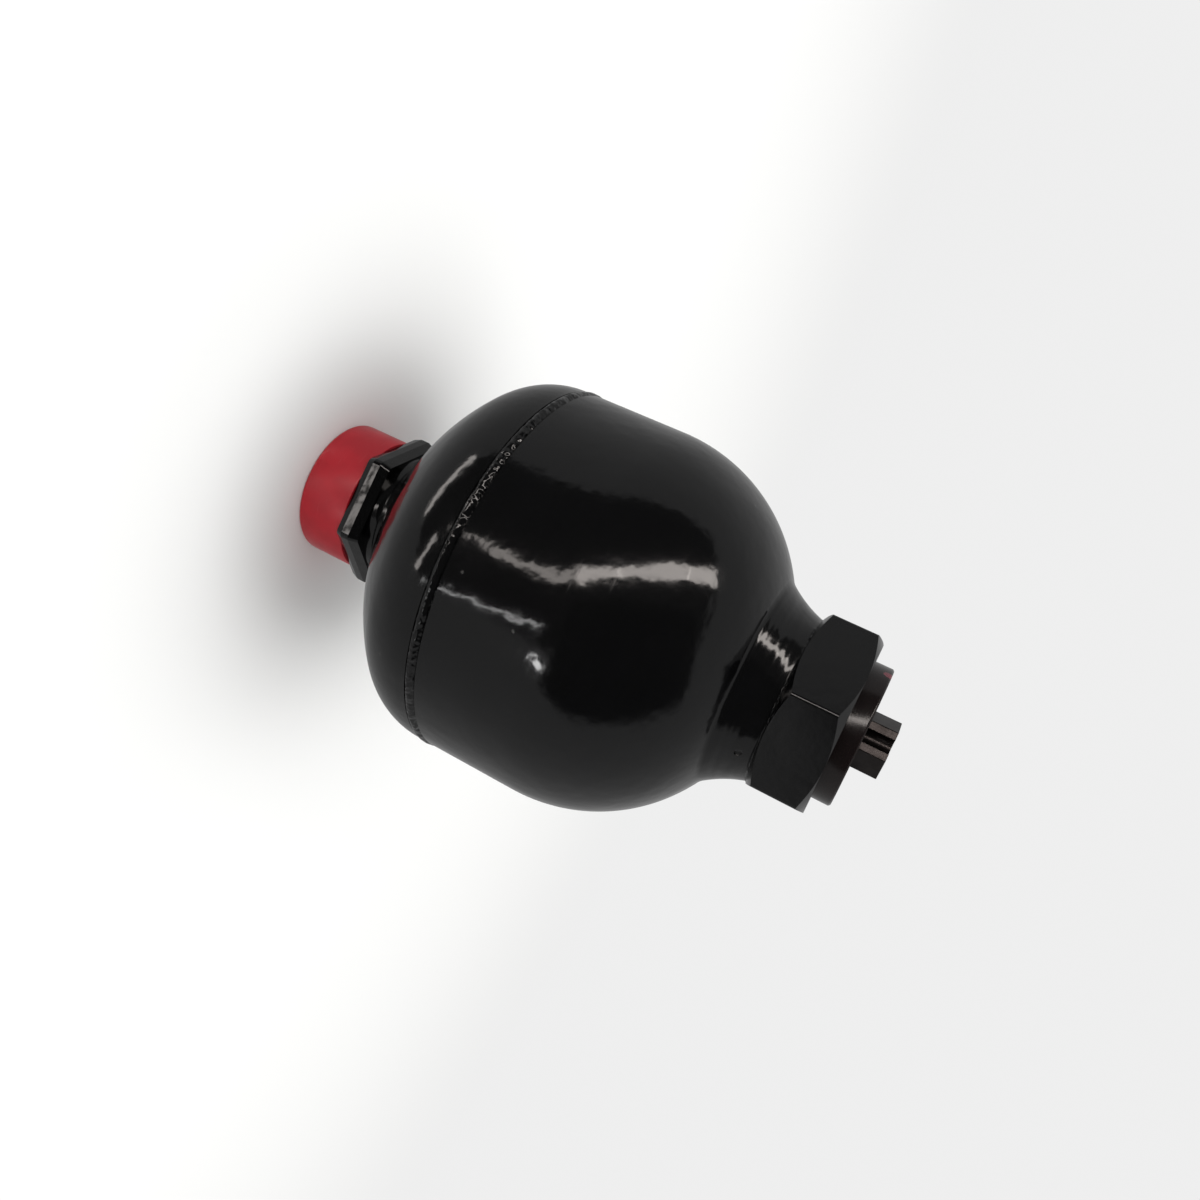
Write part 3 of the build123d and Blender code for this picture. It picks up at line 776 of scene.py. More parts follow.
@dataclass
class PressureVessel:
    """Forged shell with its neck, the fluid dome and the girth weld between them."""

    radius: float = 62.0
    wall: float = 6.0
    crown: float = 76.0
    knuckle: float = 25.0
    boss: float = 23.5
    boss_face: float = 29.6
    boss_depth: float = 11.4
    boss_bore: float = 18.03
    seal_recess: float = 20.4
    seal_depth: float = 3.6
    flange: float = 3.3
    barrel: float = 31.7
    gas_height: float = 58.0
    gas_knuckle: float = 56.0
    gas_inside: float = 38.0
    gas_wall: float = 13.5
    neck_root: float = 33.5
    neck_end: float = 26.7
    neck_length: float = 13.0
    neck_hollow: float = 0.7
    neck_thread: float = 22.53
    neck_thread_length: float = 9.9
    neck_seal: float = 21.0
    neck_bore: float = 18.5
    shoulder_depth: float = 15.9
    weld_low: float = 1.5
    weld_toe: float = 0.5
    bead: Points = (
        (-0.32, 0.0),
        (-0.02, 0.25),
        (0.30, 0.65),
        (0.42, 1.1),
        (0.40, 1.5),
        (0.28, 1.9),
        (0.02, 2.3),
        (-0.25, 2.6),
    )
    bead_peak: float = 0.445
    bead_steps: int = 900
    root_round: float = 1.5
    steps: int = 288

    def __post_init__(self) -> None:
        """Works out the heights that follow from the sizes."""
        spread = self.radius - self.knuckle
        self.crown_centre = self.boss_face + self.crown
        self.knuckle_centre = self.crown_centre - math.sqrt((self.crown - self.knuckle) ** 2 - spread ** 2)
        self.knuckle_angle = math.degrees(math.atan2(self.crown_centre - self.knuckle_centre, spread))
        self.seam = self.knuckle_centre + self.flange
        self.barrel_top = self.seam + self.barrel

    @staticmethod
    def crown_of(barrel: float, knuckle: float, height: float) -> float:
        """Crown radius of a dome from its barrel, knuckle and height."""
        return (height ** 2 - knuckle ** 2 + (barrel - knuckle) ** 2) / (2 * (height - knuckle))

    def dome(self, outline: Outline, barrel: float, knuckle: float, height: float, end: float, up: bool) -> None:
        """Adds the gas dome's knuckle and crown to an outline.

        Args:
            outline: the chain to add to.
            barrel: radius where the dome starts.
            knuckle: knuckle radius.
            height: height of the crown's pole over the barrel.
            end: radius where the crown stops.
            up: runs from the barrel to the crown, and not back.
        """
        crown = self.crown_of(barrel, knuckle, height)
        centre = self.barrel_top + height - crown
        joint = math.degrees(math.atan2(self.barrel_top - centre, barrel - knuckle))
        stop = math.degrees(math.acos(end / crown))
        if up:
            outline.arc(barrel - knuckle, self.barrel_top, joint, 56)
            outline.arc(0.0, centre, stop - joint, 8)
        else:
            outline.arc(0.0, centre, joint - stop, 10)
            outline.arc(barrel - knuckle, self.barrel_top, -joint, 36)

    def shell(self) -> Mesh:
        """Barrel, gas dome and neck in one piece."""
        low = self.seam + self.weld_low
        outline = Outline(self.radius - self.wall, self.seam + 0.5)
        outline.path((self.radius - self.weld_toe, low - 0.1), (self.radius, low + self.weld_toe))
        outline.line(self.radius, self.barrel_top)
        self.dome(outline, self.radius, self.gas_knuckle, self.gas_height, self.neck_root, True)
        root = outline.tip.co.copy()
        end = root.z + self.neck_length
        self.flank(outline, root, end)
        shoulder = end - self.shoulder_depth
        outline.path(
            (self.neck_thread + 0.6, end),
            (self.neck_thread, end - 0.6),
            (self.neck_thread, end - self.neck_thread_length),
            (self.neck_seal, end - self.neck_thread_length),
            (self.neck_seal, shoulder),
            (self.neck_bore, shoulder),
        )
        inner_height = self.gas_height - self.gas_wall
        inner_crown = self.crown_of(self.radius - self.wall, self.gas_inside, inner_height)
        centre = self.barrel_top + inner_height - inner_crown
        outline.line(self.neck_bore, centre + math.sqrt(inner_crown ** 2 - self.neck_bore ** 2))
        self.dome(outline, self.radius - self.wall, self.gas_inside, inner_height, self.neck_bore, False)
        mesh = outline.turn(self.steps)
        round_edges(
            mesh,
            self.root_round,
            6,
            lambda edge: corner(edge, 8.0) and between(edge, root.z - 0.01, root.z + 0.01),
        )
        return mesh

    def flank(self, outline: Outline, root: Vector, end: float) -> None:
        """Adds the neck's hollow flank to an outline."""
        run = Vector((self.neck_end - root.x, end - root.z))
        sag = self.neck_hollow
        bend = (run.length ** 2 / 4 + sag ** 2) / (2 * sag)
        middle = Vector(((root.x + self.neck_end) / 2, (root.z + end) / 2))
        outward = Vector((run.y, -run.x)).normalized()
        centre = middle + outward * (bend - sag)
        sweep = -2 * math.degrees(math.asin(run.length / 2 / bend))
        outline.arc(centre.x, centre.y, sweep, 14)

    def fluid_dome(self) -> Mesh:
        """Domed end with its boss, bore and seal recess."""
        outer_weld = self.seam - self.weld_low
        inner_weld = self.seam - 0.5
        spread = self.radius - self.knuckle
        meets = math.degrees(math.acos(self.boss / self.crown))
        inner_crown = self.crown - self.wall
        boss_top = self.boss_face + self.boss_depth
        inner_meets = math.degrees(math.asin((self.crown_centre - boss_top) / inner_crown))
        outline = Outline(self.radius, outer_weld).line(self.radius, self.knuckle_centre)
        outline.arc(spread, self.knuckle_centre, -self.knuckle_angle, 20)
        outline.arc(0.0, self.crown_centre, self.knuckle_angle - meets, 24)
        outline.path(
            (self.boss, self.boss_face + 1.0),
            (self.boss - 1.0, self.boss_face),
            (self.seal_recess, self.boss_face),
            (self.seal_recess, self.boss_face + self.seal_depth),
            (self.boss_bore, self.boss_face + self.seal_depth),
            (self.boss_bore, boss_top),
            (inner_crown * math.cos(math.radians(inner_meets)), boss_top),
        )
        outline.arc(0.0, self.crown_centre, inner_meets - self.knuckle_angle, 20)
        outline.arc(spread, self.knuckle_centre, self.knuckle_angle, 16)
        outline.line(self.radius - self.wall, inner_weld)
        return outline.turn(self.steps)

    def weld(self) -> Mesh:
        """Girth weld with a rippled bead and ragged toes."""
        low = self.seam - self.weld_low
        high = self.seam + self.weld_low - 0.1
        outline = Outline(self.radius - self.wall, self.seam - 0.5).profile(self.bead, self.radius, low)
        outline.path((self.radius - self.weld_toe, high), (self.radius - self.wall, self.seam + 0.5))
        mesh = outline.turn(self.bead_steps)
        for vert in mesh.verts:
            self.ripple(vert, low, high)
        return mesh

    def ripple(self, vert: Vert, low: float, high: float) -> None:
        """Moves one point of the weld's crown as the bead's ripples do.

        Args:
            vert: the point.
            low: height of the weld's lower toe.
            high: height of its upper toe.
        """
        radius = reach(vert)
        if radius < self.radius - 0.6 or not low < vert.co.z < high:
            return
        turn = math.atan2(vert.co.y, vert.co.x)
        along = turn * self.radius
        inner = math.sin(math.pi * (vert.co.z - low) / (high - low))
        spot = Vector((vert.co.x * 0.55, vert.co.y * 0.55, vert.co.z * 1.3))
        streak = Vector((vert.co.x * 0.3, vert.co.y * 0.3, vert.co.z * 2.2))
        lump = noise.noise(spot) * 0.08 + noise.noise(streak) * 0.12
        scale = math.sin(along * 2.9 + 2.0 * (vert.co.z - low) + 6.0 * noise.noise(spot * 0.5)) * 0.02
        wander = noise.noise(Vector((along * 0.13, 3.0, 0.0))) * 0.22 + noise.noise(spot * 1.4) * 0.12
        push = (lump + scale) * inner - 0.02
        move_out(vert, min(radius + push, self.radius + self.bead_peak))
        vert.co.z += wander * inner

    def build(self, shop: Shop) -> None:
        """Makes the three pieces of the vessel."""
        shop.piece("forged_shell", self.shell(), SHELL_ENAMEL, Slot.ENAMEL, ["shell_body"])
        shop.piece("domed_end", self.fluid_dome(), ENAMEL, Slot.ENAMEL, ["fluid_dome"])
        shop.piece("girth_weld", self.weld(), WELD_ENAMEL, Slot.ENAMEL, ["seam_weld"])


# --------------------------------------------------------------- the fluid end


@dataclass
class FluidPort:
    """Port body with its bevelled hexagon, thread, spigot and ribbed hub."""

    flats: float = 46.0
    turn: float = -87.5
    hex_low: float = 17.8
    hex_high: float = 25.9
    crown_low: float = 20.0
    crown_high: float = 22.7
    tilt_low: float = -20.0
    tilt_high: float = 18.0
    corner: float = 2.2
    soft: float = 0.45
    collar: float = 21.5
    thread: float = 20.95
    thread_depth: float = 1.1
    pitch: float = 2.309
    bore: float = 14.0
    spigot: float = 18.0
    seat_width: float = 2.3
    seat_top: float = 42.4
    hub: float = 9.0
    hub_bore: float = 6.53
    hub_low: float = 21.0
    hub_high: float = 30.0
    rib_width: float = 4.6
    rib_length: float = 7.0
    hub_steps: int = 72
    steps: int = 144

    def block(self, boss_face: float) -> Mesh:
        """Hexagon, crowned towards both faces, with its collar and spigot.

        Args:
            boss_face: height where the collar meets the vessel.

        Returns:
            The mesh.
        """
        blank = hexagon_corner(self.flats) + 1.0
        outline = Outline(self.bore, self.hex_low).path(
            (blank, self.hex_low),
            (blank, self.hex_high),
            (self.collar, self.hex_high),
            (self.collar, boss_face),
            (self.spigot, boss_face),
            (self.spigot, self.seat_top),
            (self.bore + self.seat_width, self.seat_top),
            (self.bore, self.seat_top - self.seat_width),
        )
        mesh = outline.turn(self.steps)
        flatten_sides(mesh, self.flats, self.turn)
        flatten_sides(mesh, self.flats, self.turn, self.tilt_low, self.crown_low)
        flatten_sides(mesh, self.flats, self.turn, self.tilt_high, self.crown_high)
        inside = self.flats / 2 - 2.0
        round_edges(
            mesh,
            self.corner,
            7,
            lambda edge: corner(edge) and not level(edge) and nearest(edge) > inside,
        )
        round_edges(
            mesh,
            self.soft,
            3,
            lambda edge: corner(edge, 35.0)
            and between(edge, self.hex_low - 0.01, self.hex_high + 0.01)
            and nearest(edge) > inside,
        )
        return mesh

    def screw_thread(self, low: float) -> Mesh:
        """Threaded end under the cap, as rings at the thread's pitch."""
        root = self.thread - self.thread_depth
        height = low + 0.6
        outline = Outline(self.bore, low).path((root, low), (root, height))
        while height + self.pitch < self.hex_low - 2.0:
            outline.path((self.thread, height + self.pitch * 0.4), (self.thread, height + self.pitch * 0.6))
            height += self.pitch
            outline.line(root, height)
        outline.path((root, self.hex_low), (self.bore, self.hex_low))
        return outline.turn(self.steps)

    def hub_and_ribs(self) -> Mesh:
        """Hub that guides the poppet, on its three ribs."""
        hub = Outline(self.hub_bore, self.hub_low)
        hub.path((self.hub, self.hub_low), (self.hub, self.hub_high), (self.hub_bore, self.hub_high))
        mesh = hub.turn(self.hub_steps)
        middle = (self.hub_low + self.hub_high) / 2
        length = self.bore - self.hub + 1.0
        for index in range(3):
            shape = (
                Matrix.Rotation(math.radians(120 * index), 4, "Z")
                @ Matrix.Translation((self.hub + length / 2 - 0.5, 0.0, middle))
                @ Matrix.Diagonal((length, self.rib_width, self.rib_length, 1.0))
            )
            bmesh.ops.create_cube(mesh, size=1.0, matrix=shape)
        return mesh

    def build(self, shop: Shop) -> None:
        """Makes the port body as one piece."""
        mesh = self.block(heights_of("fluid_dome")[0])
        join(mesh, self.screw_thread(heights_of("fluid_port_body")[0]))
        join(mesh, self.hub_and_ribs())
        shop.piece("port_body", mesh, ENAMEL, Slot.ENAMEL, ["fluid_port_body"], weighted=True, sharp=11.0)


@dataclass
class TransportCap:
    """Push-on plastic cap with a rounded end edge and a thin lip."""

    radius: float = 23.0
    length: float = 17.7
    edge: float = 1.3
    end: float = 1.8
    inside: float = 21.0
    lip: float = 0.35
    steps: int = 192

    def build(self, shop: Shop) -> None:
        """Makes the cap."""
        low = heights_of("thread_cap")[0]
        high = low + self.length
        outline = Outline(0.0, low).line(self.radius - self.edge, low)
        outline.arc(self.radius - self.edge, low + self.edge, 90.0, 10)
        outline.path(
            (self.radius, high - self.lip),
            (self.radius - self.lip * 0.3, high - self.lip * 0.3),
            (self.radius - self.lip, high),
            (self.inside + 0.3, high),
            (self.inside, high - 0.3),
            (self.inside, self.end),
            (0.0, self.end),
        )
        shop.piece("red_cap", outline.turn(self.steps), CAP_PLASTIC, Slot.CAP, ["thread_cap"])


# ----------------------------------------------------------------- the gas end


@dataclass
class GasEnd:
    """Lock nut, closure, gas screw and the enamel that has run into the joints."""

    nut_flats: float = 55.0
    nut_turn: float = -64.5
    nut_bore: float = 22.53
    nut_chamfer: float = 30.0
    nut_corner: float = 0.75
    nut_soft: float = 0.4
    thread: float = 22.5
    head: float = 22.3
    relief: float = 20.97
    nose: float = 15.9
    edge: float = 0.5
    screw_bore: float = 7.03
    screw_nose_bore: float = 5.53
    channel: float = 2.0
    screw_flats: float = 16.0
    screw_turn: float = -99.5
    groove_width: float = 4.2
    groove_depth: float = 2.6
    screw_seat: float = 15.0
    screw_nose: float = 5.5
    neck_thread: float = 9.5
    drop: float = 0.5
    shank_top: float = 3.0
    head_depth: float = 6.0
    closure_soft: float = 0.16
    screw_soft: float = 0.25
    screw_chamfer: float = 0.75
    steps: int = 192
    nut_steps: int = 240
    shank_steps: int = 72
    run_steps: int = 360
    shank: Points = (
        (5.0, 0.0),
        (5.5, 0.5),
        (5.5, 1.3),
        (3.73, 1.3),
        (3.73, 3.7),
        (5.5, 3.7),
        (5.5, 5.0),
        (6.9, 5.0),
    )
    run: Points = (
        (26.92, -1.05),
        (26.86, -0.72),
        (26.93, -0.42),
        (27.1, -0.2),
        (27.42, -0.03),
        (27.42, 0.1),
        (25.6, 0.1),
    )

    def lock_nut(self) -> Mesh:
        """Hexagon nut, its corners cut back by a cone at both ends."""
        low, high = heights_of("lock_nut")
        half = self.nut_flats / 2
        blank = hexagon_corner(self.nut_flats) + 1.0
        drop = (blank - half) * math.tan(math.radians(self.nut_chamfer))
        outline = Outline(self.nut_bore + 0.8, low).path(
            (half, low),
            (blank, low + drop),
            (blank, high - drop),
            (half, high),
            (self.nut_bore + 0.8, high),
            (self.nut_bore, high - 0.8),
            (self.nut_bore, low + 0.8),
        )
        mesh = outline.turn(self.nut_steps)
        flatten_sides(mesh, self.nut_flats, self.nut_turn)
        round_edges(
            mesh,
            self.nut_corner,
            5,
            lambda edge: upright(edge) and corner(edge) and reach(edge.verts[0]) > half + 1.0,
        )
        round_edges(mesh, self.nut_soft, 3, lambda edge: corner(edge, 20.0) and nearest(edge) > half - 0.02)
        return mesh

    def closure(self) -> Mesh:
        """Threaded closure with a nose inside the bladder and a bored middle."""
        low, top = heights_of("closure_plug")
        nut_top = heights_of("lock_nut")[1]
        base = heights_of("closure_o_ring")[0] - 0.02
        neck_end = heights_of("shell_body")[1]
        seat = top - self.screw_seat
        nose = seat - self.screw_nose
        outline = Outline(self.channel, low).path(
            (self.nose - self.edge, low),
            (self.nose, low + self.edge),
            (self.nose, base),
            (self.relief, base),
            (self.relief, neck_end - self.neck_thread),
            (self.thread, neck_end - self.neck_thread),
            (self.thread, nut_top - self.drop),
            (self.head, nut_top - self.drop),
            (self.head, top - self.edge),
            (self.head - self.edge, top),
            (self.screw_bore + 0.5, top),
            (self.screw_bore, top - 0.5),
            (self.screw_bore, seat),
            (self.screw_nose_bore, seat),
            (self.screw_nose_bore, nose),
            (self.channel, nose),
        )
        mesh = outline.turn(self.steps)
        round_edges(
            mesh,
            self.closure_soft,
            2,
            lambda edge: corner(edge) and between(edge, nut_top, top) and reach(edge.verts[0]) > 20.0,
        )
        return mesh

    def screw_section(self, mesh: Mesh, height: float) -> list[bmesh.types.BMFace]:
        """Draws the screw's hexagon, with its vent groove, as one face.

        Args:
            mesh: the mesh to draw in.
            height: height of the face.

        Returns:
            The face, in a list.
        """
        half, side = self.screw_flats / 2, self.groove_width / 2
        floor = half - self.groove_depth + side
        point = hexagon_corner(self.screw_flats)
        first = mesh.verts.new((half, -side, height))
        mouth = bmesh.ops.extrude_vert_indiv(mesh, verts=[first])["verts"][0]
        mouth.co = (floor, -side, height)
        spun = spin(mesh, [mouth], (floor, 0.0, height), -AXIS, math.pi, 14)
        tip = only(spun["geom_last"], Vert)[0]
        corners = [Vector((half, side, height))]
        corners += [
            Vector((point * math.cos(a), point * math.sin(a), height))
            for a in (math.radians(30 + 60 * index) for index in range(6))
        ]
        for spot in corners:
            tip = bmesh.ops.extrude_vert_indiv(mesh, verts=[tip])["verts"][0]
            tip.co = spot
        bmesh.ops.contextual_create(mesh, geom=[tip, first])
        made = bmesh.ops.contextual_create(mesh, geom=mesh.edges[:])
        return made["faces"]

    def gas_screw(self) -> Mesh:
        """Hexagon head with a vent groove, on a shank with a sealing nose."""
        low, top = heights_of("gas_screw")
        closure_top = heights_of("closure_plug")[1]
        mesh = bmesh.new()
        face = self.screw_section(mesh, closure_top - self.head_depth)
        pulled = bmesh.ops.extrude_face_region(mesh, geom=face)
        lift = AXIS * (top - closure_top + self.head_depth)
        bmesh.ops.translate(mesh, vec=lift, verts=only(pulled["geom"], Vert))
        tidy(mesh)
        rim = self.screw_flats / 2 - 0.3
        round_edges(mesh, self.screw_soft, 2, lambda edge: upright(edge) and corner(edge, 40.0))
        round_edges(
            mesh,
            self.screw_chamfer,
            2,
            lambda edge: corner(edge, 60.0)
            and between(edge, top - 0.01, top + 0.01)
            and max(reach(vert) for vert in edge.verts) > rim,
        )
        turned = Matrix.Rotation(math.radians(self.screw_turn), 3, "Z")
        bmesh.ops.rotate(mesh, cent=ORIGIN, matrix=turned, verts=mesh.verts[:])
        end = closure_top - self.shank_top
        shank = Outline(0.0, low).profile(self.shank, height=low).path((self.shank[-1][0], end), (0.0, end))
        join(mesh, shank.turn(self.shank_steps))
        return mesh

    def paint_run(self) -> Mesh:
        """Enamel drawn into the corner between the neck and the lock nut."""
        height = heights_of("lock_nut")[0]
        mesh = Outline(self.run[-1][0], height - 1.1).profile(self.run, height=height).turn(self.run_steps)
        for vert in mesh.verts:
            if reach(vert) > 26.0:
                lump = noise.noise(vert.co * 0.6) * 0.16 + noise.noise(vert.co * 1.7) * 0.05
                move_out(vert, reach(vert) + lump)
        return mesh

    def build(self, shop: Shop) -> None:
        """Makes the pieces of the gas end."""
        shop.piece("lock_nut_hexagon", self.lock_nut(), NUT_ENAMEL, Slot.ENAMEL, ["lock_nut"], weighted=True)
        shop.piece("neck_paint_run", self.paint_run(), WELD_ENAMEL, Slot.ENAMEL)
        shop.piece("closure", self.closure(), CLOSURE_STEEL, Slot.PLATED, ["closure_plug"])
        shop.piece("vented_gas_screw", self.gas_screw(), SCREW_STEEL, Slot.BRIGHT, ["gas_screw"], weighted=True)


# ------------------------------------------------------------------ inner parts


@dataclass
class InnerParts:
    """Bladder, poppet spring and the small valve and seal parts."""

    bag: float = 44.0
    bag_wall: float = 2.0
    bag_low: float = 58.5
    taper_run: float = 38.0
    throat: float = 5.0
    neck: float = 18.2
    bead: float = 20.7
    bead_height: float = 4.0
    spring_mean: float = 7.3
    wire: float = 0.65
    turns: float = 5.0
    squashed: float = 0.548
    bag_steps: int = 128
    coil_steps: int = 40
    finishes: Sequence[tuple[Finish, tuple[str, ...]]] = (
        (VALVE_STEEL, ("poppet", "stop_washer", "stop_nut", "spring_seat", "bead_ring")),
        (BUSH_BRONZE, ("guide_bush",)),
        (CUSHION_PLASTIC, ("stop_cushion",)),
        (BACKUP_PLASTIC, ("nut_lock_ring", "port_backup_ring")),
        (NITRILE, ("port_o_ring", "closure_o_ring", "gas_screw_o_ring")),
    )

    def bladder(self) -> Mesh:
        """Thin bag with a round bottom, a smooth taper and a bead at its neck."""
        top = heights_of("bladder")[1]
        shoulder = top - self.bead_height
        bag_top = shoulder - self.throat
        taper_low = bag_top - self.taper_run
        waist = self.bag_low + self.bag
        wall = self.bag_wall
        outline = Outline(0.0, self.bag_low).arc(0.0, waist, 90.0, 32)
        outline.line(self.bag, taper_low)
        self.taper(outline, self.bag, self.neck, bag_top)
        outline.path((self.neck, shoulder), (self.bead, shoulder), (self.bead, top), (self.neck - wall, top))
        outline.line(self.neck - wall, bag_top - wall)
        self.taper(outline, self.bag - wall, self.neck - wall, taper_low)
        outline.line(self.bag - wall, waist)
        outline.arc(0.0, waist, -90.0, 32)
        return outline.turn(self.bag_steps, closed=False)

    @staticmethod
    def taper(outline: Outline, wide: float, narrow: float, end: float) -> None:
        """Adds a smooth curve between the bag's width and its neck, up or down to a height."""
        start = outline.tip.co.copy()
        for index in range(1, 17):
            share = index / 16
            ease = 0.5 - 0.5 * math.cos(math.pi * share)
            goal = narrow if start.x > narrow + 1 else wide
            outline.line(start.x + (goal - start.x) * ease, start.z + (end - start.z) * share)

    def spring(self) -> Mesh:
        """Round-wire coil spun with a steady rise."""
        low, high = heights_of("poppet_spring")
        steps = int(self.turns * self.coil_steps)
        rise = high - low - 2 * self.wire
        start = Matrix.Translation((self.spring_mean, 0.0, low + self.wire))
        mesh = bmesh.new()
        bmesh.ops.create_circle(
            mesh, cap_ends=False, segments=12, radius=self.wire, matrix=start @ Matrix.Rotation(math.pi / 2, 4, "X")
        )
        ends = mesh.edges[:]
        ring = mesh.verts[:] + mesh.edges[:]
        made = spin(mesh, ring, ORIGIN, AXIS, math.tau * self.turns, steps, dvec=AXIS * (rise / steps))
        for loop in (ends, only(made["geom_last"], Edge)):
            bmesh.ops.edgeloop_fill(mesh, edges=loop)
        bmesh.ops.recalc_face_normals(mesh, faces=mesh.faces[:])
        return mesh

    def build(self, shop: Shop) -> None:
        """Makes the bladder and the spring, and dresses the parts that keep their CAD shape."""
        shop.piece("gas_bladder", self.bladder(), NITRILE, Slot.RUBBER, ["bladder"])
        coil = shop.piece("valve_spring", self.spring(), SPRING_WIRE, Slot.SPRING, ["poppet_spring"])
        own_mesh(coil)
        for finish, nodes in self.finishes:
            for node in nodes:
                shop.dress(node, finish)


# ----------------------------------------------------------------- studio set

TUBE_WHITE: Colour = (1.0, 0.93, 0.88)
PALE_TUBE_WHITE: Colour = (1.0, 0.94, 0.9)


@dataclass(frozen=True)
class Lamp:
    """Rectangular soft light, aimed at the vessel's middle."""

    name: str
    start: tuple[float, float]
    end: tuple[float, float]
    width: float
    radiance: float
    colour: Colour = (1.0, 1.0, 1.0)
    distance: float = 1.6
    glossy: bool = True
    diffuse: bool = False

    def build(self, target: Vector) -> bpy.types.Object:
        """Makes the light.

        Args:
            target: point that the light faces.

        Returns:
            The light's object.
        """
        first = target + direction(*self.start) * self.distance
        last = target + direction(*self.end) * self.distance
        along = (last - first).normalized()
        middle = (first + last) / 2
        away = (middle - target).normalized()
        away = (away - along * away.dot(along)).normalized()
        across = away.cross(along)
        data = bpy.data.lights.new(self.name, "AREA")
        data.shape = "RECTANGLE"
        data.size = (last - first).length
        data.size_y = 2 * self.distance * math.tan(math.radians(self.width / 2))
        data.energy = 4 * data.size * data.size_y * self.radiance
        data.color = self.colour
        made = add_object(self.name, data)
        made.matrix_world = facing(middle, along, across, away)
        made.visible_camera = False
        made.visible_glossy = self.glossy
        made.visible_diffuse = self.diffuse
        return made


@dataclass(frozen=True)
class Flag:
    """Dark flag that the gloss mirrors: a convex shape in the sky, with a softness for each edge."""

    level: float
    corners: tuple[tuple[float, float, float], ...]

    def mask(self, graph: Graph, ray: Signal) -> Signal:
        """Mask of the flag.

        Args:
            graph: the world's node graph.
            ray: direction of the ray.

        Returns:
            1 inside the flag and 0 outside it.
        """
        inside: Number = 1.0
        following = (*self.corners[1:], self.corners[0])
        for (azimuth, elevation, softness), (next_azimuth, next_elevation, _) in zip(self.corners, following):
            inwards = direction(azimuth, elevation).cross(direction(next_azimuth, next_elevation)).normalized()
            half = math.sin(math.radians(softness / 2))
            inside = graph.measure("DOT_PRODUCT", ray, inwards).rise(-half, half) * inside
        return inside


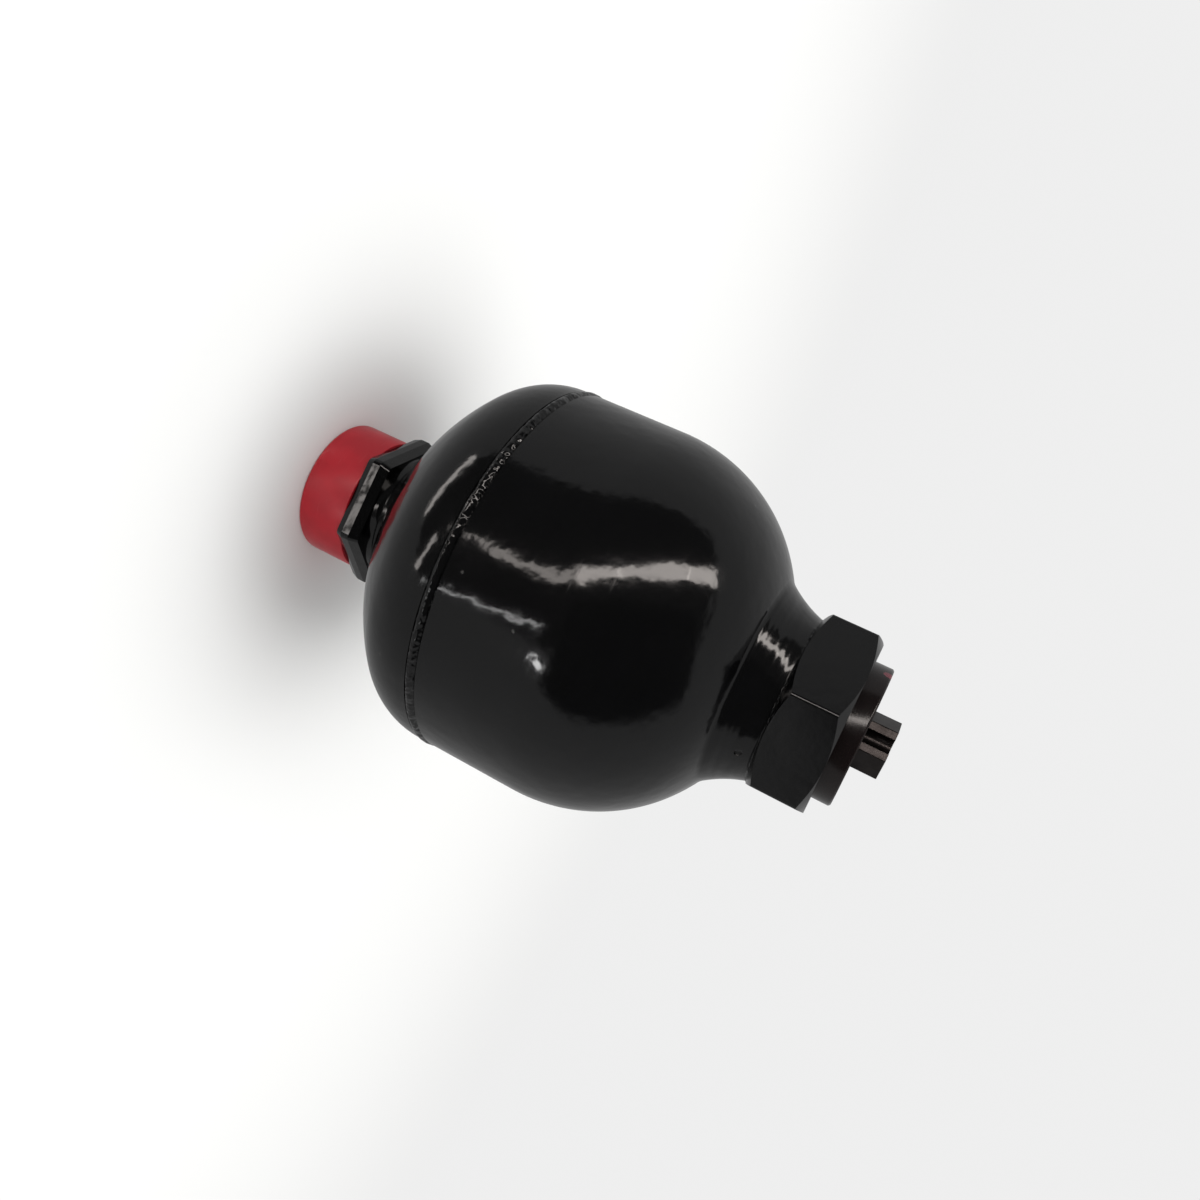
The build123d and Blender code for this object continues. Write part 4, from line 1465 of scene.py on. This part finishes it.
@dataclass
class Studio:
    """Pale floor and backdrop, soft lights and the camera."""

    backdrop: float = 0.86
    floor: Colour = (0.80, 0.80, 0.79)
    room: float = 0.33
    room_far: float = 0.42
    fill: float = 0.78
    eye: tuple[float, float, float] = (0.0, -0.30809, 0.18743)
    sight: tuple[float, float, float] = (-0.010158, 0.962766, -0.270147)
    right: tuple[float, float, float] = (-0.435925, 0.238874, 0.867704)
    lens: float = 30.0
    sensor: float = 36.0
    clip: float = 0.01
    aim: tuple[float, float, float] = (0.0, 0.0, 0.1)
    floor_radius: float = 12.0
    floor_fade: tuple[float, float] = (0.25, 1.1)
    far_side: tuple[float, float] = (105.0, 15.0)
    far_fade: tuple[float, float] = (0.45, 0.98)
    flags: Sequence[Flag] = (
        Flag(
            0.06,
            (
                (-178.0, 29.0, 3.0),
                (-147.0, -24.0, 4.0),
                (-139.0, -37.0, 4.0),
                (-94.0, -61.0, 4.0),
                (-61.0, -24.0, 7.0),
                (-35.0, 78.0, 4.0),
                (-174.0, 41.0, 3.0),
            ),
        ),
        Flag(
            0.035,
            (
                (-91.0, -4.0, 5.0),
                (-40.0, -4.0, 6.0),
                (-28.0, 9.0, 9.0),
                (-22.0, 28.0, 12.0),
                (-4.0, 70.0, 6.0),
                (-35.0, 78.0, 4.0),
                (-131.0, 62.0, 5.0),
            ),
        ),
    )
    lamps: Sequence[Lamp] = (
        Lamp("tube_high", (-166.0, 53.0), (-143.0, 41.0), 7.0, 6.0, TUBE_WHITE),
        Lamp("tube_middle", (-144.0, 42.0), (-112.0, 12.0), 7.0, 6.0, TUBE_WHITE),
        Lamp("tube_low", (-113.0, 13.0), (-101.0, -7.5), 7.0, 6.0, TUBE_WHITE),
        Lamp("tube_foot", (-101.5, -7.0), (-93.0, -23.0), 4.5, 3.5, TUBE_WHITE),
        Lamp("tube_end", (-88.0, -29.0), (-66.0, -39.0), 4.0, 4.0, PALE_TUBE_WHITE),
        Lamp("under_tube", (-142.0, -37.0), (-97.0, -61.0), 4.5, 4.0, PALE_TUBE_WHITE),
        Lamp("thin_slit", (-62.5, -25.0), (-69.0, -14.0), 0.9, 9.0),
        Lamp("small_window", (-53.0, -12.0), (-48.0, -6.0), 4.0, 12.0),
        Lamp("key_box", (-150.0, 60.0), (-60.0, 60.0), 55.0, 2.6, glossy=False, diffuse=True),
    )

    def world(self) -> None:
        """Pale to the camera, even to matt surfaces, and a dim room with a dark side in the gloss."""
        made = bpy.data.worlds.new("studio_room")
        graph = Graph(made)
        ray = graph.node("ShaderNodeTexCoord", output="Generated")
        path = self.rays(graph)
        far = graph.measure("DOT_PRODUCT", ray, direction(*self.far_side)).rise(*self.far_fade)
        mirrored = self.room + far * (self.room_far - self.room)
        for flag in self.flags:
            mirrored = mirrored + flag.mask(graph, ray) * (flag.level - mirrored)
        strength = path["camera"] * self.backdrop + path["glossy"] * mirrored
        strength = strength + (1 - path["camera"] - path["glossy"]) * self.fill
        surface = graph.node("ShaderNodeBackground", None, {"Color": (1, 1, 1, 1), "Strength": strength})
        graph.node("ShaderNodeOutputWorld", None, {"Surface": surface})
        bpy.context.scene.world = made

    @staticmethod
    def rays(graph: Graph) -> dict[str, Signal]:
        """Camera and transmission rays together, and glossy rays, as masks."""
        seen = graph.node("ShaderNodeLightPath", output="Is Camera Ray")
        through = graph.node("ShaderNodeLightPath", output="Is Transmission Ray")
        glossy = graph.node("ShaderNodeLightPath", output="Is Glossy Ray")
        return {"camera": seen.above(through), "glossy": glossy * (1 - through)}

    def ground(self) -> None:
        """Pale floor that fades into the backdrop, and that the gloss doesn't mirror."""
        mesh = bmesh.new()
        bmesh.ops.create_circle(mesh, cap_ends=True, segments=96, radius=self.floor_radius)
        made = add_object("studio_floor", stored("studio_floor", mesh))
        matt = bpy.data.materials.new("pale_floor")
        graph = Graph(matt)
        far = graph.measure("LENGTH", graph.place()).rise(*self.floor_fade) * self.rays(graph)["camera"]
        near = graph.node("ShaderNodeBsdfDiffuse", None, {"Color": rgba(self.floor)})
        edge = graph.node("ShaderNodeEmission", None, {"Color": (1, 1, 1, 1), "Strength": self.backdrop})
        mixed = graph.node("ShaderNodeMixShader", None, {0: far, 1: near, 2: edge})
        graph.node("ShaderNodeOutputMaterial", None, {"Surface": mixed})
        made.data.materials.append(matt)
        made.visible_glossy = False
        made.visible_shadow = False

    def camera(self) -> None:
        """Camera at its viewing angle, rolled so that the vessel lies across the view."""
        data = bpy.data.cameras.new("camera")
        data.lens = self.lens
        data.sensor_width = self.sensor
        data.clip_start = self.clip
        made = add_object("camera", data)
        back = -Vector(self.sight).normalized()
        across = Vector(self.right).normalized()
        up = back.cross(across)
        made.matrix_world = facing(self.eye, across, up, back)
        bpy.context.scene.camera = made

    def build(self) -> None:
        """Sets up the whole studio."""
        bpy.context.scene.view_settings.view_transform = "Standard"
        self.world()
        self.ground()
        self.camera()
        for lamp in self.lamps:
            lamp.build(Vector(self.aim))


def main() -> None:
    """Builds the studio and the accumulator."""
    logging.basicConfig(level=logging.INFO, format="%(name)s: %(message)s")
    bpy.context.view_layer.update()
    shop = Shop()
    Studio().build()
    for assembly in (PressureVessel(), FluidPort(), TransportCap(), GasEnd(), InnerParts()):
        assembly.build(shop)
    shop.report()


if __name__ == "__main__":
    main()
